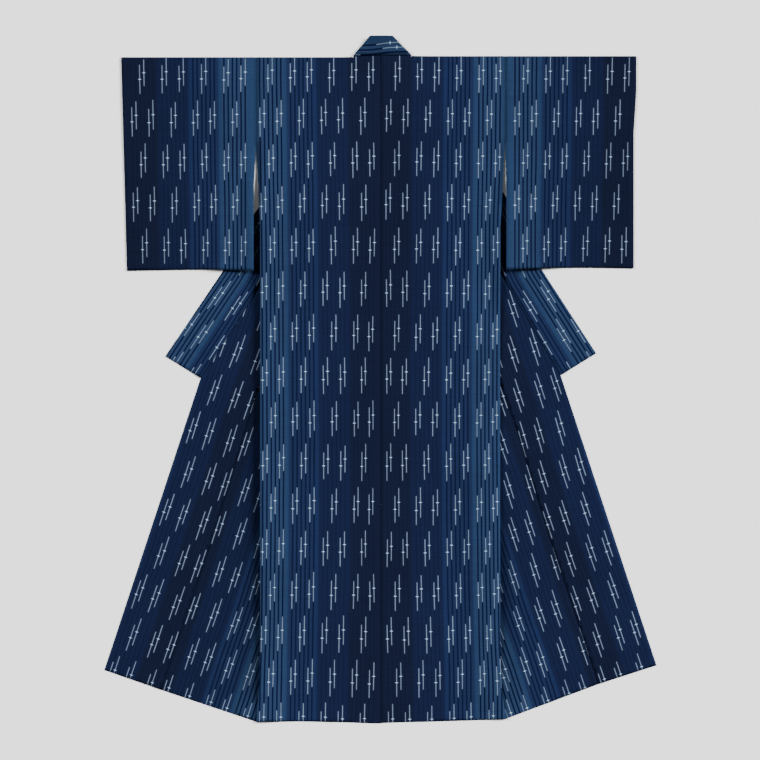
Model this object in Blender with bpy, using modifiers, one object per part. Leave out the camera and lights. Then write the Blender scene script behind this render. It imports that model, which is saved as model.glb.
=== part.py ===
"""An indigo kimono laid flat with its back up and both fronts folded outward underneath.

Metres, +Z up, neck toward +Y, hem toward -Y. The cloth rests on the plane Z = 0.
Each body half is one strip that runs from the back hem over the shoulder to the front hem.
Every panel is cut flat, scored along its creases, and then folded into place.
"""

import math
from dataclasses import dataclass

import bmesh
import bpy
from mathutils import Vector

MM = 0.001

# Cloth
WALL = 1.2 * MM
COLLAR_WALL = 1.8 * MM
SEAM_GAP = 0.3 * MM
LAYER_PITCH = 2.1 * MM

# Creases, and how upper layers run down past the edge of the layers below them
BEND_RADIUS = LAYER_PITCH / 2
BEND_LENGTH = math.pi * BEND_RADIUS
BEND_STEPS = 6
REST_MARGIN = 3.0 * MM
SLOPE_LENGTH = 22.0 * MM
SLOPE_STEPS = 4

# Levels of the laid cloth, from the surface up
FOLDED_OUT = 0
UNDER = 1
TOP = 2

# Shared sizes
CENTRE_SEAM_X = 0.9 * MM
NECK_EDGE_Y = 821.5 * MM
COLLAR_TOP_Y = 869.0 * MM
COLLAR_BULGE = BEND_RADIUS + COLLAR_WALL / 2
FRONT_FOLD_INSET = 4.5 * MM
MOUTH_LENGTH = 230.0 * MM
ARMHOLE_EASE = 100.0 * MM
OKUMI_TIP_LENGTH = 16.0 * MM


@dataclass(frozen=True)
class Side:
    """Laid sizes of one half in millimetres; each point is (out from the centre, height)."""

    name: str
    sign: int
    shoulder: float
    armhole: float
    sleeve_inner: float
    cuff: tuple
    sleeve_foot: tuple
    side_edge: tuple
    back_hem: tuple
    front_corner: tuple
    okumi_hem: tuple
    okumi_corner: tuple
    okumi_seam_mid: tuple
    okumi_tip: tuple
    collar_seam: tuple
    collar_edge: tuple
    neck_point: tuple
    collar_top: float


LEFT = Side(
    name="left",
    sign=-1,
    shoulder=816.6,
    armhole=315.1,
    sleeve_inner=320.4,
    cuff=((656.4, 816.6), (641.8, 275.5)),
    sleeve_foot=((624.0, 276.2), (442.0, 279.3), (330.0, 275.2)),
    side_edge=((315.1, 591.7), (306.5, 439.8), (304.2, 386.0), (304.2, -640.0), (306.5, -770.0)),
    back_hem=((314.4, -866.5), (200.0, -865.4), (80.0, -868.0), (20.0, -870.4)),
    front_corner=(311.3, -867.9),
    okumi_hem=(556.9, -785.0),
    okumi_corner=(699.2, -735.5),
    okumi_seam_mid=(315.1, -51.4),
    okumi_tip=(76.1, 587.4),
    collar_seam=((455.4, 3.5), (305.2, 235.7)),
    collar_edge=((545.0, 59.0), (398.1, 276.2), (319.4, 419.3)),
    neck_point=(70.5, 818.3),
    collar_top=27.2,
)

RIGHT = Side(
    name="right",
    sign=1,
    shoulder=819.4,
    armhole=315.1,
    sleeve_inner=318.1,
    cuff=((647.8, 819.4), (647.8, 733.5), (641.0, 622.0), (641.0, 282.1)),
    sleeve_foot=((636.0, 281.8), (535.0, 283.6), (454.0, 283.6), (320.0, 277.8)),
    side_edge=((315.1, 601.9), (309.0, 477.8), (303.2, 386.6), (302.7, -684.0), (306.5, -786.0)),
    back_hem=((319.5, -858.6), (252.0, -861.9), (151.0, -865.2), (24.0, -868.5)),
    front_corner=(317.1, -859.6),
    okumi_hem=(556.4, -769.2),
    okumi_corner=(699.2, -723.4),
    okumi_seam_mid=(304.7, -11.1),
    okumi_tip=(75.3, 588.0),
    collar_seam=((456.4, 10.9), (376.1, 160.3), (304.7, 269.4)),
    collar_edge=((546.3, 66.6), (409.0, 277.8), (312.8, 471.4)),
    neck_point=(73.6, 819.6),
    collar_top=28.2,
)

# Node name, colour and roughness of each sewn piece
LOOKS = {
    "body_left": ((0.014, 0.026, 0.075, 1.0), 0.9),
    "body_right": ((0.014, 0.026, 0.075, 1.0), 0.9),
    "sleeve_left": ((0.012, 0.022, 0.066, 1.0), 0.9),
    "sleeve_right": ((0.012, 0.022, 0.066, 1.0), 0.9),
    "okumi_left": ((0.010, 0.018, 0.055, 1.0), 0.9),
    "okumi_right": ((0.010, 0.018, 0.055, 1.0), 0.9),
    "collar": ((0.022, 0.045, 0.110, 1.0), 0.9),
}


def clear_scene():
    """Remove whatever the scene holds."""
    for thing in list(bpy.data.objects):
        bpy.data.objects.remove(thing, do_unlink=True)


def metres(point):
    """A table point as a vector in metres."""
    return Vector((point[0] * MM, point[1] * MM))


# Plane geometry


@dataclass(frozen=True)
class Line:
    """A directed line; positive distances are on its left."""

    start: Vector
    end: Vector

    @property
    def along(self):
        return (self.end - self.start).normalized()

    @property
    def normal(self):
        return Vector((-self.along.y, self.along.x))

    def distance(self, point):
        return (point - self.start).dot(self.normal)

    def moved(self, distance):
        """The same line, that far to its left."""
        shift = self.normal * distance
        return Line(self.start + shift, self.end + shift)

    def at_height(self, y):
        """The point of the line at a height."""
        share = (y - self.start.y) / (self.end.y - self.start.y)
        return self.start.lerp(self.end, share)


class Crease:
    """A half-round bend that turns what lies beyond a line back under or over the rest."""

    def __init__(self, line, before, after):
        self.line = line
        self.before = before
        self.after = after

    def fold(self, point, level):
        """Where a point of the flat cloth goes, and its level."""
        beyond = self.line.distance(point)
        if beyond <= 0:
            return point, level
        if beyond < BEND_LENGTH:
            turn = beyond / BEND_RADIUS
            share = (1 - math.cos(turn)) / 2
            away = BEND_RADIUS * math.sin(turn)
            return point + (away - beyond) * self.line.normal, level + share * (self.after - self.before)
        away = BEND_LENGTH - beyond
        return point + (away - beyond) * self.line.normal, self.after

    def unfold(self, point):
        """The flat place of a point that lies folded back."""
        away = self.line.distance(point)
        return point + (BEND_LENGTH - 2 * away) * self.line.normal


def collar_top(side):
    """The corner of the standing collar, seen from the back."""
    return Vector((side.collar_top * MM, COLLAR_TOP_Y))


def front_fold(side):
    """The crease along which one front is folded outward, from the hem corner to the neck."""
    head = collar_top(side) - Vector((FRONT_FOLD_INSET, 0))
    return Crease(Line(metres(side.front_corner), head), UNDER, FOLDED_OUT)


def shoulder_fold(side):
    """The crease over the shoulder, from the back down to the front."""
    height = side.shoulder * MM - BEND_RADIUS - WALL / 2
    return Crease(Line(Vector((0, height)), Vector((1, height))), TOP, UNDER)


def collar_fold(side):
    """The slanted crease beside the neck, where the collar turns down to the front."""
    line = Line(collar_top(side), metres(side.neck_point))
    return Crease(line.moved(-COLLAR_BULGE), TOP, UNDER)


# How the layers rest on each other


def rest(distance):
    """1 on top of a lower layer, running down to 0 past its edge."""
    share = min(max((distance - REST_MARGIN) / SLOPE_LENGTH, 0), 1)
    return 1 - share * share * (3 - 2 * share)


def collar_lines(side):
    """The two straight runs of the folded-out collar's outer edge."""
    turn = metres(side.collar_edge[-1])
    return Line(turn, metres(side.collar_edge[0])), Line(collar_top(side), turn)


def layer_heights(side, point):
    """How far each of the three levels lies over the lowest one at a point."""
    past_fold = front_fold(side).line.distance(point)
    past_collar = max(line.distance(point) for line in collar_lines(side))
    over_front = rest(max(past_fold, past_collar)) * LAYER_PITCH
    over_under = rest(past_fold) * LAYER_PITCH
    return 0.0, over_front, over_front + over_under


def rise(side, point, level):
    """How far a level, whole or between two, lies over the lowest one at a point."""
    heights = layer_heights(side, point)
    low = min(int(level), TOP - 1)
    return heights[low] + (heights[low + 1] - heights[low]) * (level - low)


def slopes(line):
    """The lines past an edge at which the layers above it are scored."""
    steps = [SLOPE_LENGTH * step / SLOPE_STEPS for step in range(SLOPE_STEPS + 1)]
    return [line.moved(REST_MARGIN + step) for step in steps]


# Flat cutting


def inset(outline, amount):
    """The outline moved inward by an amount; its points run counter-clockwise."""
    moved = []
    count = len(outline)
    for index, point in enumerate(outline):
        before = Line(outline[index - 1], point).normal
        after = Line(point, outline[(index + 1) % count]).normal
        mitre = before + after
        moved.append(point + mitre * (amount / max(mitre.dot(after), 0.2)))
    return moved


def cut_flat(outline):
    """A flat panel with the given outline, less half a seam's gap all round."""
    bm = bmesh.new()
    corners = [bm.verts.new((point.x, point.y, 0)) for point in inset(outline, SEAM_GAP / 2)]
    edges = [bm.edges.new((corners[index - 1], corners[index])) for index in range(len(corners))]
    bmesh.ops.contextual_create(bm, geom=edges)
    return bm


def score(bm, line, where):
    """Cut the faces that a test picks along a line, keeping both sides."""
    bm.faces.index_update()
    faces = [face for face in bm.faces if where(face.calc_center_median().xy)]
    around = list(faces)
    for face in faces:
        around += [part for part in (*face.edges, *face.verts) if part not in around]
    bmesh.ops.bisect_plane(
        bm,
        geom=around,
        dist=1e-6,
        plane_co=(line.start.x, line.start.y, 0),
        plane_no=(line.normal.x, line.normal.y, 0),
    )


def score_bend(bm, line, where):
    """Score the rows of a half-round bend beside a line."""
    for step in range(BEND_STEPS + 1):
        score(bm, line.moved(BEND_LENGTH * step / BEND_STEPS), where)


def finish(bm, name, wall, collection):
    """Give a folded panel its wall and its cloth."""
    bmesh.ops.recalc_face_normals(bm, faces=bm.faces[:])
    mesh = bpy.data.meshes.new(name)
    bm.to_mesh(mesh)
    bm.free()
    piece = bpy.data.objects.new(name, mesh)
    collection.objects.link(piece)
    shell = piece.modifiers.new("wall", "SOLIDIFY")
    shell.thickness = wall
    shell.offset = 0
    colour, roughness = LOOKS[name]
    material = bpy.data.materials.new(name)
    material.use_nodes = True
    shader = material.node_tree.nodes["Principled BSDF"]
    shader.inputs["Base Color"].default_value = colour
    shader.inputs["Roughness"].default_value = roughness
    shader.inputs["Metallic"].default_value = 0.0
    mesh.materials.append(material)
    return piece


def fold_all(bm, place):
    """Move every corner of a scored panel to its place."""
    bmesh.ops.triangulate(bm, faces=bm.faces[:])
    for corner in bm.verts:
        corner.co = place(corner.co.xy)


# The pieces


def body_half(side, collection):
    """One body strip: back panel, shoulder, and front panel with its outward fold."""
    over = shoulder_fold(side)
    out = front_fold(side)
    centre = side.sign * CENTRE_SEAM_X
    shoulder = over.line.start.y
    armhole = Vector((side.armhole * MM, shoulder))
    neck = metres(side.neck_point)
    neck_side = Vector((neck.x, shoulder))
    tip = metres(side.okumi_tip)

    back = [Vector((centre, side.back_hem[-1][1] * MM))]
    back += [metres(point) for point in reversed(side.side_edge + side.back_hem)]
    front = [metres(point) for point in side.side_edge + side.back_hem[:1]]
    front += [out.line.start, out.unfold(metres(side.okumi_hem)), out.unfold(metres(side.okumi_seam_mid))]
    front += [out.unfold(tip), tip, neck_side]
    neckline = [neck_side, neck, Vector((centre, NECK_EDGE_Y))]
    outline = back + [armhole] + [over.unfold(point) for point in [armhole, *front]] + neckline
    panel = cut_flat(outline)

    def is_front(point):
        return point.y > shoulder + BEND_LENGTH and (point.x > neck.x or point.y > COLLAR_TOP_Y)

    def is_back(point):
        return not is_front(point)

    def is_wedge(point):
        return is_front(point) and out.line.distance(over.fold(point, TOP)[0]) < 0

    def turned(line):
        return Line(over.unfold(line.end), over.unfold(line.start))

    score_bend(panel, over.line, is_back)
    score_bend(panel, turned(out.line), is_front)
    for line in slopes(out.line):
        score(panel, line, is_back)
    for edge in collar_lines(side):
        for line in slopes(edge):
            score(panel, line, is_back)
            score(panel, turned(line), is_wedge)

    def place(point):
        level = TOP
        if point.x > neck.x or point.y > COLLAR_TOP_Y:
            point, level = over.fold(point, level)
        if level == UNDER:
            point, level = out.fold(point, level)
        return side.sign * point.x, point.y, WALL / 2 + rise(side, point, level)

    fold_all(panel, place)
    return finish(panel, "body_" + side.name, WALL, collection)


def sleeve(side, collection):
    """One sleeve: a strip folded at the shoulder and closed along its foot and under its mouth."""
    over = shoulder_fold(side)
    shoulder = over.line.start.y
    armhole_foot = metres(side.side_edge[0])
    inner = side.sleeve_inner * MM
    foot = [metres(point) for point in side.sleeve_foot]
    cuff = [metres(point) for point in side.cuff[1:]]
    cuff_top = Vector((side.cuff[0][0] * MM, shoulder))
    back = [Vector((inner, foot[-1].y)), *reversed(foot), *reversed(cuff), cuff_top]
    join = [Vector((armhole_foot.x, shoulder)), armhole_foot, Vector((inner, armhole_foot.y - ARMHOLE_EASE))]
    outline = back + [over.unfold(point) for point in reversed(back)]
    outline += [over.unfold(point) for point in reversed(join)] + join
    panel = cut_flat(outline)

    def is_front(point):
        return point.y > shoulder + BEND_LENGTH

    def is_back(point):
        return not is_front(point)

    score_bend(panel, over.line, is_back)
    mouth = Line(Vector((0, shoulder - MOUTH_LENGTH)), Vector((1, shoulder - MOUTH_LENGTH)))
    lines = [mouth] + [line for edge in collar_lines(side) for line in slopes(edge)]
    for line in lines:
        score(panel, line, is_back)
        score(panel, Line(over.unfold(line.end), over.unfold(line.start)), is_front)

    def place(point):
        point, level = over.fold(point, TOP)
        return side.sign * point.x, point.y, WALL / 2 + rise(side, point, level)

    foot_line = max(point.y for point in foot) + 1 * MM
    cuff_line = min(point.x for point in cuff) - 1 * MM
    rims = {TOP: [], UNDER: []}
    for edge in panel.edges:
        folded = [over.fold(corner.co.xy, TOP) for corner in edge.verts]
        if not edge.is_boundary or folded[0][1] != folded[1][1] or folded[0][1] not in rims:
            continue
        at_foot = all(point.y < foot_line for point, level in folded)
        at_cuff = all(point.x > cuff_line and point.y < mouth.start.y + SEAM_GAP for point, level in folded)
        if at_foot or at_cuff:
            rims[folded[0][1]].append(edge)
    fold_all(panel, place)
    bmesh.ops.bridge_loops(panel, edges=rims[TOP] + rims[UNDER])
    return finish(panel, "sleeve_" + side.name, WALL, collection)


def okumi(side, collection):
    """One overlap panel, flat on the surface, with its point cut short under the body."""
    tip = metres(side.okumi_tip)
    seam = [metres(point) for point in side.collar_seam]
    mid = metres(side.okumi_seam_mid)
    blunt = [tip + (point - tip).normalized() * OKUMI_TIP_LENGTH for point in (seam[-1], mid)]
    outline = [metres(side.okumi_hem), metres(side.okumi_corner), *seam, *blunt, mid]
    panel = cut_flat(outline)
    fold_all(panel, lambda point: (side.sign * point.x, point.y, WALL / 2))
    return finish(panel, "okumi_" + side.name, WALL, collection)


def collar_arm(side):
    """The flat outline of one half of the collar, from the neck seam round to its top corner."""
    turn = collar_fold(side)
    out = front_fold(side)
    neck = turn.line.at_height(side.neck_point[1] * MM + SEAM_GAP)
    top = turn.line.at_height(COLLAR_TOP_Y)
    tip = metres(side.okumi_tip)
    laid = [metres(point) for point in side.collar_seam[::-1] + side.collar_edge]
    arm = [tip, out.unfold(tip), *[out.unfold(point) for point in laid], out.unfold(top)]
    return [neck] + [turn.unfold(point) for point in [neck, *arm, top]] + [top]


def score_collar_arm(panel, side):
    """Score one half of the collar for its two creases and for what it rests on."""
    turn = collar_fold(side)
    out = front_fold(side)
    mirror = Vector((side.sign, 1))

    def is_half(point):
        return point.x * side.sign > 0

    def is_arm(point):
        return is_half(point) and turn.line.distance(point * mirror) > BEND_LENGTH

    def is_root(point):
        return is_half(point) and turn.line.distance(point * mirror) < BEND_LENGTH

    def drawn(line):
        if side.sign > 0:
            return line
        return Line(line.end * mirror, line.start * mirror)

    score_bend(panel, drawn(turn.line), is_half)
    score_bend(panel, drawn(Line(turn.unfold(out.line.end), turn.unfold(out.line.start))), is_arm)
    for line in slopes(out.line):
        score(panel, drawn(line), is_root)


def collar(collection):
    """The collar: one strip that stands at the neck and turns down along both fronts."""
    mirror = Vector((-1, 1))
    centre = Vector((CENTRE_SEAM_X, NECK_EDGE_Y))
    outline = [centre, *collar_arm(RIGHT)] + [point * mirror for point in reversed(collar_arm(LEFT))]
    panel = cut_flat(outline)
    score(panel, Line(Vector((0, 0)), Vector((0, 1))), lambda point: True)
    for side in (LEFT, RIGHT):
        score_collar_arm(panel, side)

    def place(point):
        side = RIGHT if point.x > 0 else LEFT
        own = point * Vector((side.sign, 1))
        own, level = collar_fold(side).fold(own, TOP)
        if level == UNDER:
            own, level = front_fold(side).fold(own, level)
        return side.sign * own.x, own.y, COLLAR_WALL / 2 + rise(side, own, level)

    fold_all(panel, place)
    return finish(panel, "collar", COLLAR_WALL, collection)


def build():
    """Make every piece."""
    clear_scene()
    collection = bpy.data.collections.new("kimono")
    bpy.context.scene.collection.children.link(collection)
    for side in (LEFT, RIGHT):
        body_half(side, collection)
        sleeve(side, collection)
        okumi(side, collection)
    collar(collection)


build()
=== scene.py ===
"""An indigo kasuri kimono laid flat with its back up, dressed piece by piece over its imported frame.

Metres, +Z up, neck toward +Y. Each sewn piece is a thin shell that is cut flat, scored, folded and laid.
Its cloth chart is carried by a map named "bolt": across the bolt from the first dark stripe, and along it.
"""

import logging
import math
from dataclasses import dataclass, fields
from enum import Enum, IntEnum
from typing import Callable

import bmesh
import bpy
import numpy as np
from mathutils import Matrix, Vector


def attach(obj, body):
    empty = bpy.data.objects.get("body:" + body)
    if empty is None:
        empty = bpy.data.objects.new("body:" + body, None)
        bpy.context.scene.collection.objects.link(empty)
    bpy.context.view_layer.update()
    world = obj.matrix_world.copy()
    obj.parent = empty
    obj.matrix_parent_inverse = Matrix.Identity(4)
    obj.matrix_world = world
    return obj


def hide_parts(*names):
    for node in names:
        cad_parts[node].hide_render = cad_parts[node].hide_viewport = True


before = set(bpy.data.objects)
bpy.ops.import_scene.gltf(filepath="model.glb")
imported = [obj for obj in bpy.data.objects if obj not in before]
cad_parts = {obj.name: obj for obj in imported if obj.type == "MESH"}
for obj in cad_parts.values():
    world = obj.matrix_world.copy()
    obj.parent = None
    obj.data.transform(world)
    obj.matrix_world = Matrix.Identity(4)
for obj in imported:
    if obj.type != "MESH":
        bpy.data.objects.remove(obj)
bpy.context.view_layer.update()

MM = 0.001
log = logging.getLogger("kimono")

Array = np.ndarray
Test = Callable[[Array], bool]
Socket = bpy.types.NodeSocket


class Level(IntEnum):
    """Layers of the laid cloth, from the surface up."""

    FOLDED_OUT = 0
    UNDER = 1
    TOP = 2


class Hold(Enum):
    """How a piece of cloth is held."""

    LAID = "laid"
    FOLDED = "folded"


# Sizes of the cloth and of its folds


def metres(values: object) -> Array:
    """Numbers in millimetres as metres, or in thousandths as plain shares."""
    return np.array(values, dtype=float) * MM


@dataclass(frozen=True)
class ClothSizes:
    """Sizes that all the sewn pieces share, in metres."""

    wall: float = 1.1 * MM
    plain_share: float = 0.66
    rim_share: float = 0.28
    rim: tuple[float, float] = (-0.2 * MM, 1.2 * MM)
    seam_rim: tuple[float, float] = (-2.4 * MM, -0.4 * MM)
    hem_turn: tuple[float, float] = (13.0 * MM, 19.0 * MM)
    pitch: float = 2.1 * MM
    bend_radius: float = 1.05 * MM
    bend_steps: int = 8
    rest_margin: float = 3.0 * MM
    slope_length: float = 22.0 * MM
    top_slope_length: float = 70.0 * MM
    seam_gap: float = 0.3 * MM
    rings: tuple[float, ...] = (0.4 * MM, 0.8 * MM, 1.8 * MM)
    seam_rows: tuple[float, ...] = (2.4 * MM, 1.2 * MM, 0.0, -0.8 * MM)
    shoulder_rows: tuple[float, ...] = (0.7 * MM, 2.0 * MM, 4.5 * MM)
    grid: float = 9.0 * MM

    @property
    def bend_length(self) -> float:
        """Cloth used up by one half-round bend."""
        return math.pi * self.bend_radius


CLOTH = ClothSizes()
COLLAR_WALL = 1.6 * MM
SOLID_WALL = 1.2 * MM
CENTRE_SEAM_X = 0.9 * MM
NECK_EDGE_Y = 819.8 * MM
COLLAR_TOP_Y = 870.0 * MM
FRONT_FOLD_INSET = 4.5 * MM
NECK_NOTCH = 1.2 * MM
NECK_NOTCH_RISE = 0.2 * MM
NECK_ALLOWANCE = 6.0 * MM
ALLOWANCE = 8.0 * MM
ALLOWANCE_STEP = 2.0 * MM
MOUTH_LENGTH = 230.0 * MM
ARMHOLE_EASE = 100.0 * MM
OKUMI_TIP_LENGTH = 16.0 * MM
ROW_PITCH = 109.13 * MM
OVERRUN = 5.0 * MM
FAR = 1e9


@dataclass(frozen=True)
class Metric:
    """Lengths given in millimetres and shares given in thousandths, held in metres and as plain shares."""

    def __post_init__(self) -> None:
        """Scale every number and every table."""
        for field in fields(self):
            value = getattr(self, field.name)
            if isinstance(value, (float, tuple)):
                object.__setattr__(self, field.name, metres(value))


@dataclass(frozen=True)
class Grain(Metric):
    """How the stripes and rows of the cloth run over one half, and where its colour is darkened, mostly by
    painted shade.

    Gathers, stretches, spreads and shades are shares; the shades darken the colour. The rows of the tables
    are:
    back_lean and okumi_lean (height, lean toward the middle), back_bow (height, sag at each of BOW_PLACES),
    front_drift (height, rise, lean), arm_draw (run, spread, shift), arm_sag (inset, sag). front_shade is (an
    even darkening all over, painted shadow beside the side edge, more of that painted shadow toward the hem).
    """

    body_origin: float
    edge_pull: float
    waist_gather: float
    front_shift: float
    front_rise: float
    back_stretch: float
    back_lean: tuple
    back_bow: tuple
    front_drift: tuple
    sleeve_margin: float
    sleeve_middle: float
    sleeve_stretch: float
    okumi_lean: tuple
    okumi_start: float
    okumi_stretch: float
    okumi_step: float
    okumi_dip: float
    arm_draw: tuple
    arm_sag: tuple
    arm_middle: float
    # darkening put into the colour: painted shadow below the underarm, front_shade as above, painted shade
    # along the sleeve's top fold, and an even darkening of the overlap panel
    underarm_shade: float
    front_shade: tuple
    sleeve_top_shade: float
    okumi_shade: float


@dataclass(frozen=True)
class Side(Metric):
    """Laid sizes of one half; each point is (out from the centre, height)."""

    name: str
    shoulder: float
    armhole: float
    sleeve_inner: float
    cuff: tuple
    sleeve_foot: tuple
    side_edge: tuple
    back_hem: tuple
    front_corner: tuple
    okumi_hem: tuple
    okumi_corner: tuple
    okumi_bends: tuple
    okumi_tip: tuple
    collar_seam: tuple
    collar_edge: tuple
    neck_point: tuple
    collar_top: float
    collar_inset: float
    grain: Grain

    @property
    def is_left(self) -> bool:
        """Whether this is the left half, seen from above."""
        return self.name == "left"

    @property
    def mirror(self) -> Array:
        """What turns this half's points into places with X to the right, and back."""
        return np.array((-1 if self.is_left else 1, 1))

    @property
    def centre(self) -> float:
        """The centre seam in this half's own points."""
        return self.mirror[0] * CENTRE_SEAM_X

    @property
    def okumi_seam(self) -> Array:
        """The laid seam between front and overlap panel, from the hem up."""
        return np.vstack((self.okumi_hem, self.okumi_bends, self.okumi_tip))

    @property
    def front_seam(self) -> Array:
        """The laid seam between overlap panel and collar, up to the panel's point."""
        return np.vstack((self.collar_seam, self.okumi_tip))


BOW_PLACES = metres((30, 90, 150, 212, 274))

LEFT = Side(
    name="left",
    shoulder=816.6,
    armhole=315.1,
    sleeve_inner=320.4,
    cuff=((656.4, 816.6), (641.8, 275.5)),
    sleeve_foot=((624.0, 276.2), (442.0, 279.3), (330.0, 275.2)),
    side_edge=((315.1, 591.7), (306.5, 439.8), (304.2, 386.0), (304.2, -640.0), (306.5, -770.0)),
    back_hem=((314.4, -866.5), (200.0, -865.4), (80.0, -868.0), (20.0, -870.4)),
    front_corner=(311.3, -867.9),
    okumi_hem=(555.0, -785.6),
    okumi_corner=(699.2, -735.5),
    okumi_bends=((430.8, -418.2), (317.5, -51.0)),
    okumi_tip=(76.1, 587.4),
    collar_seam=((455.4, 3.5), (305.2, 235.7)),
    collar_edge=((545.0, 59.0), (398.1, 276.2), (319.4, 419.3)),
    neck_point=(70.5, 818.3),
    collar_top=27.2,
    collar_inset=1.95,
    grain=Grain(
        body_origin=306.0,
        edge_pull=2.2,
        waist_gather=145.0,
        front_shift=-4.1,
        front_rise=20.0,
        back_stretch=0.0,
        back_lean=(
            (-868, 0.0), (-735, 1.8), (-621, 3.3), (-507, 5.1), (-393, 6.0), (-165, 7.1),
            (62, 5.7), (290, 4.7), (518, 2.8), (760, 0.0),
        ),
        back_bow=(
            (-735, -7.1, -4.6, -2.0, 0.5, -1.3), (-621, -4.6, -0.5, 1.3, 1.3, -0.8),
            (-507, -2.0, -1.0, -1.0, -0.3, 0.5), (-279, -1.5, -1.5, -1.3, -0.5, 0.0),
            (63, -0.8, -0.8, -0.8, -1.0, -2.5), (290, 0.5, 1.0, 1.5, 0.5, -1.5),
            (404, 1.0, 0.8, 1.3, 0.8, -0.8), (518, -0.3, 0.3, 0.5, 0.5, -4.0),
            (632, 0.0, -0.5, -0.5, -2.3, -4.0), (746, -1.3, 0.0, -0.3, -1.5, -3.0),
        ),
        front_drift=(
            (-735, -0.8, 0.0), (-621, 3.4, 2.3), (-507, 1.8, 1.1), (-393, -0.5, 0.3),
            (-279, 0.5, 0.0), (-165, 1.3, 0.0),
        ),
        sleeve_margin=26.6,
        sleeve_middle=769.4,
        sleeve_stretch=1009.0,
        okumi_lean=(
            (0, 1.0), (222, 2.5), (310, 3.8), (550, 3.8), (700, 1.3), (790, 2.2), (880, 5.0), (960, 6.6),
        ),
        okumi_start=-1.7,
        okumi_stretch=1004.5,
        okumi_step=3.2,
        okumi_dip=0.0,
        arm_draw=((0, 20, -1.0), (100, 35, 0.1), (205, 95, -1.8), (262, 110, -2.3)),
        arm_sag=((20, -0.5), (46, 3.4), (97, 3.2)),
        arm_middle=96.2,
        underarm_shade=550.0,
        front_shade=(100, 180, 120),
        sleeve_top_shade=0.0,
        okumi_shade=60.0,
    ),
)

RIGHT = Side(
    name="right",
    shoulder=819.4,
    armhole=315.1,
    sleeve_inner=318.1,
    cuff=((647.8, 819.4), (647.8, 733.5), (641.0, 622.0), (641.0, 282.1)),
    sleeve_foot=((636.0, 281.8), (535.0, 283.6), (454.0, 283.6), (320.0, 277.8)),
    side_edge=((315.1, 601.9), (309.0, 477.8), (303.2, 386.6), (302.7, -684.0), (306.5, -786.0)),
    back_hem=((319.5, -858.6), (252.0, -861.9), (151.0, -865.2), (24.0, -868.5)),
    front_corner=(317.1, -859.6),
    okumi_hem=(552.2, -770.8),
    okumi_corner=(699.2, -723.4),
    okumi_bends=((425.2, -390.3), (346.0, -130.0), (304.8, -11.4)),
    okumi_tip=(75.3, 588.0),
    collar_seam=((456.4, 10.9), (369.8, 160.3), (304.7, 269.4)),
    collar_edge=((546.3, 66.6), (409.0, 277.8), (312.8, 471.4)),
    neck_point=(77.4, 819.6),
    collar_top=28.2,
    collar_inset=-0.4,
    grain=Grain(
        body_origin=303.5,
        edge_pull=4.8,
        waist_gather=90.0,
        front_shift=4.2,
        front_rise=23.2,
        back_stretch=-3.3,
        back_lean=(
            (-868, -4.0), (-735, -3.0), (-621, -0.5), (-507, 1.8), (-393, 3.0), (-165, 4.8),
            (62, 4.5), (290, 3.0), (518, 2.0), (760, 0.0),
        ),
        back_bow=(
            (-735, -0.5, -0.5, 0.8, 3.3, 6.3), (-621, 1.0, 0.0, 0.8, 3.5, 5.3),
            (-507, 0.3, -0.3, -0.8, 2.5, 5.0), (-393, 0.0, -0.3, 0.3, 1.0, 3.3),
            (-279, 0.0, 0.0, 0.5, 2.0, 3.0), (-165, 3.0, 2.5, 2.8, 2.0, 3.3),
            (-51, 1.0, 0.3, -0.5, -0.8, 0.5), (63, 1.0, 0.3, -1.3, -1.3, -0.5),
            (290, 1.5, 0.8, 0.5, 0.0, 0.3), (404, 4.5, 2.3, 2.3, 1.8, 0.0),
            (518, 4.5, 2.5, 0.5, 0.5, -1.5), (632, 5.0, 1.5, 0.3, 0.8, -1.0),
            (746, 1.3, 0.3, -2.5, -4.3, -2.0),
        ),
        front_drift=(
            (-735, -0.8, 0.0), (-621, 3.3, 2.2), (-507, 0.5, 0.8), (-393, -1.5, 0.0),
            (-279, -2.0, -1.6), (-165, 6.0, -0.8), (-51, -1.8, -1.6),
        ),
        sleeve_margin=25.1,
        sleeve_middle=771.5,
        sleeve_stretch=1012.6,
        okumi_lean=((0, 1.5), (209, 2.8), (330, 5.1), (540, 5.1), (680, 0.0), (890, -1.3)),
        okumi_start=1.0,
        okumi_stretch=1011.0,
        okumi_step=0.0,
        okumi_dip=2.5,
        arm_draw=((0, 0, 2.2), (100, 15, 3.8), (205, 50, 4.6), (262, 60, 5.2)),
        arm_sag=((30, 0.0), (75, 1.7), (97, 5.8)),
        arm_middle=81.6,
        underarm_shade=350.0,
        front_shade=(0, 0, 260),
        sleeve_top_shade=450.0,
        okumi_shade=0.0,
    ),
)


# Plane geometry


@dataclass(frozen=True)
class Line:
    """A directed line in the plane; positive distances are on its left."""

    start: Array
    end: Array

    @property
    def along(self) -> Array:
        """Unit vector along the line."""
        way = np.subtract(self.end, self.start)
        return way / np.hypot(*way)

    @property
    def normal(self) -> Array:
        """Unit vector to the left of the line."""
        return np.array((-self.along[1], self.along[0]))

    def distance(self, points: Array) -> Array:
        """How far one or more points lie to the left of the line."""
        return np.subtract(points, self.start) @ self.normal

    def moved(self, distance: float) -> "Line":
        """The same line, that far to its left."""
        shift = self.normal * distance
        return Line(np.add(self.start, shift), np.add(self.end, shift))

    def at_height(self, y: float) -> Array:
        """The point of the line at a height."""
        share = (y - self.start[1]) / (self.end[1] - self.start[1])
        return self.start + share * np.subtract(self.end, self.start)


def chain_lines(chain: Array) -> list[Line]:
    """The lines from each corner of a chain to the next."""
    return [Line(start, end) for start, end in zip(chain[:-1], chain[1:])]


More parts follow.
